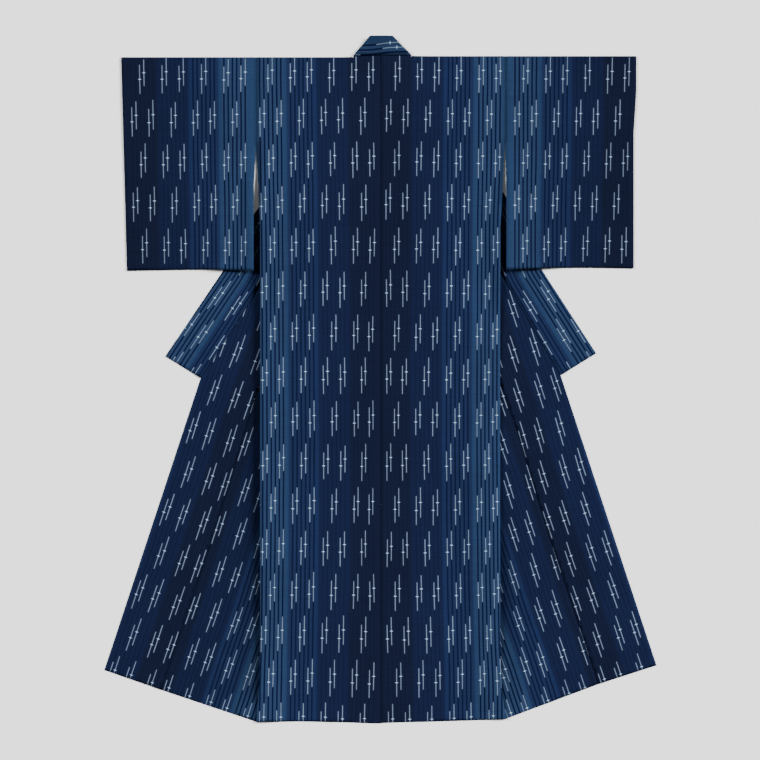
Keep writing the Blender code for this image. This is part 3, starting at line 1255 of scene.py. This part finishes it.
@dataclass(frozen=True)
class Weave:
    """A plain cotton weave with slubs; a noise is (stretch across, stretch along, scale, detail)."""

    thread: float = 0.8 * MM
    warp_noise: tuple = (60.0, 1.0, 11.0, 3.0)
    weft_noise: tuple = (1.0, 45.0, 13.0, 3.0)
    cloud_noise: tuple = (1.0, 1.0, 5.0, 2.0)
    thick_noise: tuple = (1.3, 70.0, 16.0, 0.0)
    streak: float = 0.16
    slub: float = 0.22
    cloud: float = 0.14
    thick_weft: float = 0.16
    thick_edge: float = 0.30
    thick_feather: float = 0.05
    variety: float = 3.7
    roughness: float = 0.82

    def group(self) -> bpy.types.ShaderNodeTree:
        """Make the shader group that gives the weave's height and its slubby tone, darkened by the painted
        shade.

        Returns:
            The group.
        """
        inputs = {"Bolt": "Vector", "Color": "Color", "Piece": "Float", "Seam": "Float"}
        outputs = {"Color": "Color", "Height": "Float", "Roughness": "Float"}
        w, given = new_group("cotton weave", inputs, outputs)
        across, along = given["Bolt"].parts()[:2]
        piece = given["Piece"] * self.variety
        turn = math.pi / self.thread
        over = w.math("SINE", across * turn) * w.math("SINE", along * turn)
        noises = (self.warp_noise, self.weft_noise, self.cloud_noise, self.thick_noise)
        warp, weft, cloud, thick = (
            w.noise(w.vector(across * wide, along * long, piece), scale, detail)
            for wide, long, scale, detail in noises
        )
        tone = 1.0 - w.mask(thick, self.thick_edge, self.thick_feather) * self.thick_weft
        for part, share in ((warp, self.streak), (weft, self.slub), (cloud, self.cloud)):
            tone = tone + (part - 0.5) * (2 * share)
        # painted shade darkens the colour here
        tone = tone * (1.0 - given["Seam"])
        shade = w.get("ShaderNodeCombineColor", {0: tone, 1: tone, 2: tone})
        colour = w.mix(1.0, given["Color"], shade, "MULTIPLY")
        height = over * 0.5 + (warp + weft * 0.8)
        roughness = weft * 0.2 + self.roughness
        w.put("NodeGroupOutput", {"Color": colour, "Height": height, "Roughness": roughness})
        return w.tree


@dataclass(frozen=True)
class KasuriCotton:
    """The finish of one sewn piece: charted indigo cotton."""

    chart: bpy.types.ShaderNodeTree
    weave: bpy.types.ShaderNodeTree
    bump: float = 0.35
    bump_depth: float = 0.15 * MM
    gloss: float = 0.02

    def material(self, name: str, number: float) -> bpy.types.Material:
        """Make the material of one piece.

        Args:
            name: Its name.
            number: A number that sets the piece's own small irregularities.

        Returns:
            The material.
        """
        material, w = new_material(name)
        bolt = w.get("ShaderNodeUVMap", {}, uv_map="bolt")
        # the seam attribute brings the painted shade into the weave group
        seam = w.get("ShaderNodeAttribute", {}, "Fac", attribute_name="seam")
        drawn = w.get("ShaderNodeGroup", {}, "Color", node_tree=self.chart)
        woven = w.put("ShaderNodeGroup", {}, node_tree=self.weave)
        for node in (drawn.socket.node, woven):
            w.tree.links.new(bolt.socket, node.inputs["Bolt"])
            node.inputs["Piece"].default_value = number
        w.tree.links.new(drawn.socket, woven.inputs["Color"])
        w.tree.links.new(seam.socket, woven.inputs["Seam"])
        colour, height, roughness = (Value(w, socket) for socket in woven.outputs)
        bump = w.get("ShaderNodeBump", {"Strength": self.bump, "Distance": self.bump_depth, "Height": height})
        feeds = {"Base Color": colour, "Roughness": roughness, "Normal": bump}
        feeds |= {"Specular IOR Level": self.gloss}
        w.put("ShaderNodeOutputMaterial", {"Surface": w.get("ShaderNodeBsdfPrincipled", feeds)})
        return material


# The sewn pieces


@dataclass(frozen=True)
class Sheet:
    """A flat cut's own rectangle in metres and its area in square metres."""

    width: float
    length: float
    area: float


@dataclass
class Laid:
    """A cut's corners after folding: flat and laid places, heights and distances past a seam."""

    flat: Array
    plan: Array
    height: Array
    beyond: Array | None = None


@dataclass
class SewnPiece:
    """What all the sewn pieces share."""

    side: Side
    finish: KasuriCotton
    number: float
    sheet: Sheet
    hold: Hold = Hold.FOLDED
    rests_on: tuple[str, ...] = ()

    @property
    def lay(self) -> Lay:
        """How this half lies."""
        return Lay(self.side)

    @staticmethod
    def bolt(across: Array, along: Array, turned: bool, shifted: bool) -> Array:
        """Places on the bolt.

        Args:
            across: How far points lie across the bolt.
            along: How far they lie along it.
            turned: Whether the bolt runs the other way.
            shifted: Whether the cut starts one row of dashes on.

        Returns:
            One row for each point.
        """
        return np.stack((across, (-along if turned else along) + (ROW_PITCH if shifted else 0.0)), axis=1)

    def dress(
        self, cut: Cut, node: str, wall: float, laid: Laid, charts: list[Array], shade: Array,
        pick: Callable[[Array], int] = lambda middle: 0,
    ) -> bpy.types.Object:
        """Args:
            cut: The scored cut.
            node: The node that the piece stands for.
            wall: Full thickness of its cloth.
            laid: Where its corners lie.
            charts: Its bolt charts.
            shade: The darkening painted into each corner's colour, mostly painted shade.
            pick: Which chart a face uses.

        Returns:
            The piece.
        """
        shares = cut.wall_shares(laid.flat, laid.beyond)
        area = cut.area()
        cut.lay(np.column_stack((laid.plan, laid.height + wall / 2)), charts, pick)
        piece = cut.finish(node + "_cloth", wall, shares, shade)
        piece.data.materials.append(self.finish.material(node + " kasuri cotton", self.number))
        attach(piece, "root")
        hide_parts(node)
        log.info("%s: %d faces, cut area %.4f m2", piece.name, len(piece.data.polygons), area)
        return piece


@dataclass
class BodyHalf(SewnPiece):
    """One body strip: back panel, shoulder, and front panel with its outward fold."""

    row_origin: float = 775.0 * MM
    front_part: tuple = (830 * MM, 1500 * MM)
    pulled_edge: tuple = (225 * MM, 306 * MM)
    pulled_part: tuple = ((-560 * MM, -380 * MM), (660 * MM, 800 * MM))
    waist_part: tuple = ((-420 * MM, -60 * MM), (360 * MM, 640 * MM))
    gather_start: float = 233.4 * MM
    front_taper: float = 0.0164
    taper_part: tuple = (1720 * MM, 750 * MM)
    # path of the shadow painted below the underarm, as (inset from the armhole, height)
    underarm: tuple = ((5 * MM, 600 * MM), (9 * MM, 450 * MM))
    centre_dip: float = 0.35

    def outline(self) -> Array:
        """Draw the flat cut, from the back hem round to the neckline.

        Returns:
            Its corners, counter-clockwise.
        """
        side, over, out = self.side, self.lay.shoulder_fold, self.lay.front_fold
        inner = side.centre - (ALLOWANCE if side.is_left else 0.0)
        shoulder, hem_y = over.line.start[1], side.back_hem[-1][1]
        foot = [(inner, hem_y + ALLOWANCE_STEP)] * side.is_left + [(side.centre, hem_y)]
        notch_x, notch_y = side.neck_point[0] + NECK_NOTCH, shoulder + NECK_NOTCH_RISE
        front = np.vstack((
            (side.armhole, shoulder), side.side_edge, side.back_hem[0], out.line.start,
            out.unfold(self.okumi_allowance()), side.okumi_tip, (notch_x, shoulder),
        ))
        neck = side.neck_point + np.array((-NECK_NOTCH, 0.0))
        neckline = ((notch_x, notch_y), (neck[0], notch_y), neck + (-NECK_ALLOWANCE, NECK_ALLOWANCE))
        back = np.vstack((foot, side.back_hem[::-1], side.side_edge[::-1], front[0]))
        return np.vstack((back, over.unfold(front), *neckline, (inner, NECK_EDGE_Y + NECK_ALLOWANCE)))

    def okumi_allowance(self) -> Array:
        """Draw the laid rim of the seam allowance that runs under the overlap panel.

        Returns:
            Its corners, from the hem up.
        """
        chain = self.side.okumi_seam
        first = chain_lines(chain)[0]
        normals = np.array([line.normal for line in chain_lines(chain)])
        turned = (normals + np.vstack((normals[1:], normals[-1]))) / 2
        start = chain[0] + first.along * ALLOWANCE_STEP
        return np.vstack((chain[0], start, start - normals[0] * ALLOWANCE, chain[1:] - turned * ALLOWANCE))

    @property
    def neckline(self) -> Line:
        """The laid seam of the back neck, from the shoulder to the centre seam."""
        return Line(self.side.neck_point, np.array((self.side.centre, NECK_EDGE_Y)))

    def chart(self, flat: Array) -> Array:
        """Find where the flat cloth lies on the bolt.

        Args:
            flat: Flat places.

        Returns:
            Places on the bolt.
        """
        side, grain = self.side, self.side.grain
        x, y = flat.T
        run = y - self.lay.shoulder_fold.line.start[1]
        height = self.lay.shoulder_fold.line.start[1] - run
        front = smooth(y, *self.front_part)
        across = grain.body_origin - x - table(y, grain.back_lean)
        across -= grain.edge_pull * smooth(x, *self.pulled_edge) * hump(-y, *self.pulled_part)
        gather = grain.waist_gather * hump(-y, *self.waist_part) * (1 - front)
        across += gather * np.maximum(across - self.gather_start, 0)
        taper = self.front_taper * np.clip(self.taper_part[0] - run, 0, self.taper_part[1])
        across += front * (grain.front_shift - taper + table(height, grain.front_drift, 2))
        along = y - self.row_origin + np.minimum(y - self.row_origin, 0) * grain.back_stretch
        along += front * (grain.front_rise + table(height, grain.front_drift))
        along -= (1 - front) * drift(flat, BOW_PLACES, grain.back_bow)
        return self.bolt(across, along, turned=not side.is_left, shifted=not side.is_left)

    def build(self) -> bpy.types.Object:
        """Cut, score, fold and dress the strip.

        Returns:
            The piece.
        """
        side, over, out = self.side, self.lay.shoulder_fold, self.lay.front_fold
        shoulder = over.line.start[1]
        cut = Cut(self.outline())
        cut.score_grid(shoulder)
        cut.score_shoulder(over.line)

        def is_front(points: Array) -> Array:
            """Whether one or more flat points belong to the part past the shoulder."""
            x, y = points.T
            return (y > shoulder) & ((x > side.neck_point[0]) | (y > COLLAR_TOP_Y))

        crease = over.drawn(out.line)
        cut.score_bend(crease, lambda p: is_front(p) and p[1] > shoulder + CLOTH.bend_length / 2)
        self._score_seams(cut, crease)
        flat = cut.flat()
        levels = np.full(len(flat), float(Level.TOP))
        past = is_front(flat)
        turned, new_levels = over.fold(flat, levels)
        plan, levels = np.where(past[:, None], turned, flat), np.where(past, new_levels, levels)
        plan, levels = self.lay.fold_out(plan, levels)
        beyond = self._beyond_seams(plan, levels)
        height = self._height(plan, levels) - self.lay.tuck(beyond)
        laid = Laid(flat, plan * side.mirror, height, beyond)
        shade = self._shade(plan, levels)
        return self.dress(cut, "body_" + side.name, CLOTH.wall, laid, [self.chart(flat)], shade)

    def _shade(self, plan: Array, levels: Array) -> Array:
        """Find the shade painted into the laid cloth beside its seams, shoulder fold, underarm and side edge.

        Args:
            plan: Laid places.
            levels: Their levels.

        Returns:
            A shade for each point.
        """
        side, grain = self.side, self.side.grain
        armhole = self.lay.armhole()
        shoulder = np.array(((side.neck_point[0], armhole[0][1]), armhole[0]))
        underarm = [(side.armhole - inset, y) for inset, y in self.underarm]
        # on the back: painted shade along the armhole seam and the shoulder fold, and painted shadow below
        # the underarm
        upper = np.max([
            painted_edge_shade(plan, armhole, 0.35),
            painted_edge_shade(plan, shoulder, 0.5),
            painted_edge_shade(plan, np.array(underarm), grain.underarm_shade, 7 * MM),
        ], axis=0)
        # on the folded-out front: an even darkening, and painted shadow beside the side edge, stronger toward
        # the hem; painted shade along the overlap seam
        plain, beside, low = grain.front_shade
        depth = beside + low * smooth(-plan[:, 1], 200 * MM, 420 * MM)
        front = plain + depth * painted_edge_shade(plan, side.side_edge, 1.0, 42 * MM)
        return np.where(levels < 0.5, np.maximum(painted_edge_shade(plan, side.okumi_seam, 0.5), front), upper)

    def _score_seams(self, cut: Cut, crease: Line) -> None:
        """Score the panel along the seams whose allowances run under a neighbour.

        Args:
            cut: The flat cut.
            crease: The front's outward crease on it.
        """
        side, neck = self.side, self.side.neck_point
        chain = self.lay.shoulder_fold.unfold(self.lay.front_fold.unfold(side.okumi_seam))
        cut.score_chain(chain, lambda p: p[1] > COLLAR_TOP_Y and crease.distance(p) > CLOTH.bend_length)
        cut.score_seam(self.neckline, lambda p: p[0] < neck[0] and abs(p[1] - neck[1]) < 14 * MM)
        if side.is_left:
            foot = Line(self.neckline.end, self.neckline.end - (0, 1))
            cut.score_seam(foot, lambda p: p[1] < neck[1] and p[0] < 12 * MM)

    def _beyond_seams(self, plan: Array, levels: Array) -> Array:
        """Find how far points lie past the seams whose allowances run under a neighbour.

        Args:
            plan: Laid places.
            levels: Their levels.

        Returns:
            A distance, negative inside the seams.
        """
        side, top = self.side, levels >= Level.TOP
        low = np.where(levels < 0.5, -along_path(plan, side.okumi_seam)[1], -1.0)
        high = np.where(top & (plan[:, 0] < side.neck_point[0]), -self.neckline.distance(plan), -1.0)
        if side.is_left:
            high = np.where(top, np.maximum(high, side.centre - plan[:, 0]), high)
        return np.maximum(low, high)

    def _height(self, plan: Array, levels: Array) -> Array:
        """Find the heights of the laid cloth, with its shoulder, side seam and sewn edges.

        Args:
            plan: Laid places.
            levels: Their levels.

        Returns:
            A height for each point.
        """
        side, lay = self.side, self.lay
        from_shoulder = np.where(plan[:, 0] > side.neck_point[0], lay.shoulder_edge - plan[:, 1], 1.0)
        from_side = distance_to_path(plan, np.vstack((side.side_edge, side.back_hem[0])))
        height = lay.sewn(plan, levels, (from_shoulder, from_side), lay.side_round)
        if side.is_left:
            return height
        ridden = lay.over_allowance(plan[:, 0] - side.centre, self.centre_dip)
        return height + np.where(levels >= Level.TOP, ridden, 0)


@dataclass
class Sleeve(SewnPiece):
    """One sleeve: a strip folded at the shoulder and closed along its foot and under its mouth."""

    inner_edge: float = 315.4 * MM
    gather_height: float = 818 * MM
    gather_share: float = 0.992
    gather_growth: float = 0.058
    bulge: float = 1.8 * MM
    bulge_middle: float = 425 * MM
    bulge_width: float = 70 * MM
    bulge_part: tuple = (-560 * MM, -430 * MM)

    def outline(self) -> Array:
        """Draw the flat cut, both halves about the shoulder.

        Returns:
            Its corners, counter-clockwise.
        """
        side, over = self.side, self.lay.shoulder_fold
        shoulder, edge = over.line.start[1], side.side_edge[0]
        foot, cuff = side.sleeve_foot[::-1], side.cuff[:0:-1]
        back = np.vstack(((side.sleeve_inner, foot[0][1]), foot, cuff, (side.cuff[0][0], shoulder)))
        join = np.array(((edge[0], shoulder), edge, (side.sleeve_inner, edge[1] - ARMHOLE_EASE)))
        return np.vstack((back, over.unfold(np.vstack((back[::-1], join[::-1]))), join))

    def chart(self, flat: Array) -> Array:
        """Find where the flat cloth lies on the bolt; the stripes follow the cuff.

        Args:
            flat: Flat places.

        Returns:
            Places on the bolt.
        """
        side, grain = self.side, self.side.grain
        x, y = flat.T
        height = self.lay.shoulder_fold.fold(flat, np.full(len(flat), 2.0))[0][:, 1]
        gather = self.gather_share + self.gather_growth * (self.gather_height - height)
        across = (x - self.inner_edge) * gather - grain.sleeve_margin
        bulge = bell(x, self.bulge_middle, self.bulge_width)
        across += self.bulge * smooth(-height, *self.bulge_part) * bulge
        along = (y - grain.sleeve_middle) * grain.sleeve_stretch
        return self.bolt(across, along, turned=side.is_left, shifted=side.is_left)

    def build(self) -> bpy.types.Object:
        """Cut, score, fold and dress the sleeve.

        Returns:
            The piece.
        """
        side, lay = self.side, self.lay
        cut = Cut(self.outline())
        cut.score_grid(lay.shoulder_fold.line.start[1])
        cut.score_shoulder(lay.shoulder_fold.line)
        flat = cut.flat()
        plan, levels = lay.shoulder_fold.fold(flat, np.full(len(flat), 2.0))
        laid = Laid(flat, plan * side.mirror, self._height(plan, levels))
        armhole = lay.armhole()
        shoulder = np.array((armhole[0], (1.0, armhole[0][1])))
        # painted shade along the armhole seam and the shoulder fold, and an even darkening that grows toward
        # the cuff
        shade = np.max([
            painted_edge_shade(plan, armhole, 0.35),
            painted_edge_shade(plan, shoulder, side.grain.sleeve_top_shade),
            0.03 + 0.08 * smooth(plan[:, 0], 330 * MM, 480 * MM),
        ], axis=0)
        return self.dress(cut, "sleeve_" + side.name, CLOTH.wall, laid, [self.chart(flat)], shade)

    def _height(self, plan: Array, levels: Array) -> Array:
        """Find the heights of the laid sleeve, with its shoulder, foot, cuff and armhole.

        Args:
            plan: Laid places.
            levels: Their levels.

        Returns:
            A height for each point.
        """
        side, lay, cuff = self.side, self.lay, self.side.cuff
        mouth = side.shoulder - MOUTH_LENGTH
        foot = np.vstack((cuff[-1], side.sleeve_foot))
        edge = (np.interp(mouth, cuff[::-1, 1], cuff[::-1, 0]), mouth)
        low_cuff = np.vstack((edge, cuff[cuff[:, 1] < mouth]))
        from_seam = np.minimum(distance_to_path(plan, foot), distance_to_path(plan, low_cuff))
        return lay.sewn(plan, levels, (lay.shoulder_edge - plan[:, 1], from_seam), lay.foot_round)


@dataclass
class Okumi(SewnPiece):
    """One overlap panel, flat on the surface."""

    bolt_edge: float = 141.5 * MM
    step_part: tuple = (780 * MM, 890 * MM)
    dip_height: float = 600 * MM
    dip_width: float = 110 * MM

    def outline(self) -> Array:
        """Draw the flat cut, with its point cut short under the body.

        Returns:
            Its corners, counter-clockwise.
        """
        side, seam, bends = self.side, self.side.collar_seam, self.side.okumi_bends[::-1]
        tip = side.okumi_tip
        low = Line(seam[0], seam[1])
        blunt = [tip + Line(tip, end).along * OKUMI_TIP_LENGTH for end in (seam[-1], bends[0])]
        blunt[0] = blunt[0] - low.normal * ALLOWANCE / 2
        start = seam[0] + low.along * ALLOWANCE_STEP
        rim = np.vstack((start, start, seam[1:])) - low.normal * ALLOWANCE
        rim[0] = start
        return np.vstack((side.okumi_hem, side.okumi_corner, seam[0], rim, *blunt, bends))

    def chart(self, flat: Array) -> Array:
        """Find where the cloth lies on the bolt, measured from its front edge and its hem.

        Args:
            flat: Flat places.

        Returns:
            Places on the bolt.
        """
        side, grain = self.side, self.side.grain
        height = Line(side.okumi_hem, side.okumi_corner).distance(flat)
        edge = Line(side.okumi_corner, side.collar_seam[0])
        across = self.bolt_edge + edge.distance(flat) - table(height, grain.okumi_lean)
        along = height * grain.okumi_stretch + grain.okumi_start
        along -= grain.okumi_step * smooth(height, *self.step_part)
        along -= grain.okumi_dip * bell(height, self.dip_height, self.dip_width)
        return self.bolt(across, along, turned=not side.is_left, shifted=side.is_left)

    def build(self) -> bpy.types.Object:
        """Cut, score and dress the panel.

        Returns:
            The piece.
        """
        side, lay = self.side, self.lay
        cut = Cut(self.outline())
        cut.score_grid(side.shoulder)
        cut.score_chain(side.front_seam)
        flat = cut.flat()
        levels = np.zeros(len(flat))
        beyond = np.max([-line.distance(flat) for line in chain_lines(side.front_seam)], axis=0)
        ridden = lay.over_allowance(distance_to_path(flat, side.okumi_seam))
        height = lay.rise(flat, levels) + ridden - lay.tuck(beyond)
        laid = Laid(flat, flat * side.mirror, height, beyond)
        # painted shade along both seams, over an even darkening where okumi_shade is set
        shade = np.maximum(painted_edge_shade(flat, side.okumi_seam, 0.5), painted_edge_shade(flat, side.front_seam, 0.3))
        shade = np.maximum(shade, side.grain.okumi_shade)
        return self.dress(cut, "okumi_" + side.name, CLOTH.wall, laid, [self.chart(flat)], shade)


@dataclass
class Collar(SewnPiece):
    """The collar: one strip that stands at the neck and turns down along both fronts."""

    neck_rise: tuple = (
        (-75, -2.9), (-46, -2.9), (-25, -2.2), (-11, -1.0), (5, 1.4), (22, 3.6), (41, 4.8), (75, 5.2),
    )
    neck_margin: float = 21.5 * MM
    neck_middle: float = 32.2 * MM
    neck_gather: float = 0.9
    # how far down from the top the painted shade of the standing neck reaches
    neck_depth: float = 47 * MM
    arm_gather: float = 109.13 / 107.9

    def arm(self, side: Side) -> Array:
        """Draw one half of the flat cut, from the neck seam round to its top corner.

        Args:
            side: The half.

        Returns:
            Its corners, mirrored to the right.
        """
        lay = Lay(side)
        turn, out = lay.collar_fold, lay.front_fold
        neck, top = (turn.line.at_height(y) for y in (side.neck_point[1] + CLOTH.seam_gap, COLLAR_TOP_Y))
        laid = np.vstack((side.front_seam[::-1], side.collar_edge, top))
        arm = np.vstack((neck, side.okumi_tip, out.unfold(laid), top))
        return np.vstack((neck, turn.unfold(arm), top))

    def outline(self) -> Array:
        """Draw the flat cut of the whole collar.

        Returns:
            Its corners, counter-clockwise.
        """
        return np.vstack(((CENTRE_SEAM_X, NECK_EDGE_Y), self.arm(RIGHT), self.arm(LEFT)[::-1] * LEFT.mirror))

    def build(self) -> bpy.types.Object:
        """Cut, score, fold and dress the collar.

        Returns:
            The piece.
        """
        cut = Cut(self.outline())
        cut.score(Line((0.0, 0.0), (0.0, 1.0)))
        cut.score_grid(NECK_EDGE_Y)
        for side in (LEFT, RIGHT):
            self._score_side(cut, side)
        flat = cut.flat()
        places, arms = np.zeros((len(flat), 3)), np.zeros((len(flat), 2))
        for side in (LEFT, RIGHT):
            rows = (flat[:, 0] <= 0) == side.is_left
            places[rows], arms[rows] = self._place(flat[rows] * side.mirror, side)
        rise = table(flat[:, 0], metres(self.neck_rise))
        across = self.neck_gather * (COLLAR_TOP_Y - flat[:, 1] - self.neck_margin + rise)
        necks = self.bolt(across, flat[:, 0] - self.neck_middle, turned=False, shifted=True)

        def pick(middle: Array) -> int:
            """0 on the standing part and 1 on the arms."""
            side = RIGHT if middle[0] > 0 else LEFT
            return int(Lay(side).collar_fold.line.distance(middle * side.mirror) > CLOTH.bend_length)

        laid = Laid(flat, places[:, :2], places[:, 2])
        return self.dress(cut, "collar", COLLAR_WALL, laid, [necks, arms], self._shade(places[:, :2]), pick)

    def _shade(self, plan: Array) -> Array:
        """Find the shade painted into the laid collar: over the standing neck, along its top fold, beside its
        seams and along its slanted neck creases.

        Args:
            plan: Laid places, X to the right.

        Returns:
            A shade for each point.
        """
        from_top = COLLAR_TOP_Y - plan[:, 1]
        # painted shade over the standing neck, deepest along its top fold
        shade = np.where(from_top < self.neck_depth, 0.16 + 0.25 * bell(from_top, 0.0, 3 * MM), 0.0)
        # painted shade along the front seams and the slanted neck creases
        for side in (LEFT, RIGHT):
            slant = Lay(side).collar_fold.line.moved(CLOTH.bend_radius)
            for path, depth in ((side.front_seam, 0.2), (np.array((slant.start, slant.end)), 0.4)):
                shade = np.maximum(shade, painted_edge_shade(plan * side.mirror, path, depth))
        return shade

    def _score_side(self, cut: Cut, side: Side) -> None:
        """Score the two creases of one arm.

        Args:
            cut: The flat cut.
            side: The half.
        """
        turn = Lay(side).collar_fold
        crease = turn.drawn(Lay(side).front_fold.line)

        def is_half(point: Array) -> bool:
            """Whether a point of the cut lies on this half."""
            return point[0] * side.mirror[0] > 0

        def is_arm(point: Array) -> bool:
            """Whether it lies past the collar's own crease."""
            return is_half(point) and turn.line.distance(point * side.mirror) >= CLOTH.bend_length

        for line, where in ((turn.line, is_half), (crease, is_arm)):
            if side.is_left:
                line = Line(line.end * side.mirror, line.start * side.mirror)
            cut.score_bend(line, where)

    def _place(self, own: Array, side: Side) -> tuple[Array, Array]:
        """Lay one half of the collar.

        Args:
            own: Flat places, mirrored to the right.
            side: The half.

        Returns:
            Laid places with heights, X to the right, and places on the bolt.
        """
        lay, grain = Lay(side), side.grain
        plan, levels = lay.fold_out(*lay.collar_fold.fold(own, np.full(len(own), 2.0)))
        neckline = np.array((side.neck_point, (0.0, NECK_EDGE_Y)))
        height = lay.rise(plan, levels)
        for part, path, depth in ((levels < 0.5, side.front_seam, 0.6), (levels > 1.5, neckline, 0.3)):
            height += np.where(part, lay.over_allowance(distance_to_path(plan, path), depth), 0)
        run, beside, _ = along_path(plan, np.vstack((side.collar_edge, lay.collar_top)))
        across = beside * (1 + table(run, grain.arm_draw)) + table(run, grain.arm_draw, 2)
        along = (run - table(beside, grain.arm_sag) - grain.arm_middle) * self.arm_gather
        places = np.column_stack((plan * side.mirror, height))
        return places, self.bolt(across, along, turned=not side.is_left, shifted=True)


# The room


@dataclass
class Studio:
    """Camera, pale floor and soft plain light."""

    view_width: float = 1924.3 * MM
    middle: tuple[float, float] = (-1.1 * MM, -0.8 * MM)
    lens: float = 100.0
    sensor: float = 36.0
    far_end: float = 60.0
    floor_size: float = 14.0
    floor_tone: float = 0.88
    sky: float = 0.18

    def camera(self) -> None:
        """Set the camera straight above the cloth."""
        data = bpy.data.cameras.new("camera")
        data.lens = self.lens
        data.sensor_width = self.sensor
        data.clip_end = self.far_end
        camera = add_object("camera", data)
        camera.location = (*self.middle, self.view_width * self.lens / self.sensor)
        bpy.context.scene.camera = camera

    def floor(self) -> None:
        """Lay the pale floor, which shows only from above."""
        bm = bmesh.new()
        bmesh.ops.create_grid(bm, x_segments=1, y_segments=1, size=self.floor_size / 2)
        floor = add_mesh("floor", bm)
        material, w = new_material("pale floor")
        backfacing = w.get("ShaderNodeNewGeometry", {}, "Backfacing")
        paint = w.get("ShaderNodeBsdfDiffuse", {"Color": (*[self.floor_tone] * 3, 1.0)})
        clear = w.get("ShaderNodeBsdfTransparent", {})
        blend = w.get("ShaderNodeMixShader", {0: backfacing, 1: paint, 2: clear})
        w.put("ShaderNodeOutputMaterial", {"Surface": blend})
        floor.data.materials.append(material)

    def lamp(self, name: str, place: tuple, spread: float, strength: float) -> None:
        """Hang one far soft lamp.

        Args:
            name: Its name.
            place: The direction that it shines from.
            spread: How wide it looks, in degrees.
            strength: Its strength.
        """
        data = bpy.data.lights.new(name, "SUN")
        data.angle = math.radians(spread)
        data.energy = strength
        lamp = add_object(name, data)
        lamp.location = place
        lamp.rotation_euler = Vector(place).to_track_quat("Z", "Y").to_euler()

    def build(self) -> None:
        """Set up the room."""
        self.camera()
        self.floor()
        self.lamp("key", (2.72, 1.2, 1.36), 22.0, 9.9)
        self.lamp("fill", (-2.6, 1.15, 1.45), 24.0, 6.6)
        world = bpy.data.worlds.new("studio")
        world.use_nodes = True
        world.node_tree.nodes["Background"].inputs["Color"].default_value = (1.0, 1.0, 1.0, 1.0)
        world.node_tree.nodes["Background"].inputs["Strength"].default_value = self.sky
        bpy.context.scene.world = world


def main() -> None:
    """Build every piece in order and report it."""
    logging.basicConfig(level=logging.INFO, format="%(message)s")
    cotton = KasuriCotton(BoltChart().group(), Weave().group())
    ground = ("floor",)
    cuts = (
        (LEFT, 1.0, Sheet(0.3237, 3.3727, 0.973), Sheet(0.3410, 1.0825, 0.357), Sheet(0.300, 1.400, 0.173)),
        (RIGHT, 2.0, Sheet(0.3183, 3.3666, 0.940), Sheet(0.3324, 1.0829, 0.350), Sheet(0.300, 1.400, 0.178)),
    )
    for side, number, body, sleeve, okumi in cuts:
        BodyHalf(side, cotton, number, body, Hold.FOLDED, ("okumi_" + side.name, "collar")).build()
        Sleeve(side, cotton, number + 2, sleeve, Hold.FOLDED, ("collar",)).build()
        Okumi(side, cotton, number + 4, okumi, Hold.LAID, ground).build()
    Collar(LEFT, cotton, 7.0, Sheet(0.2389, 1.9906, 0.205), Hold.FOLDED, ground).build()
    Studio().build()


if __name__ == "__main__":
    main()
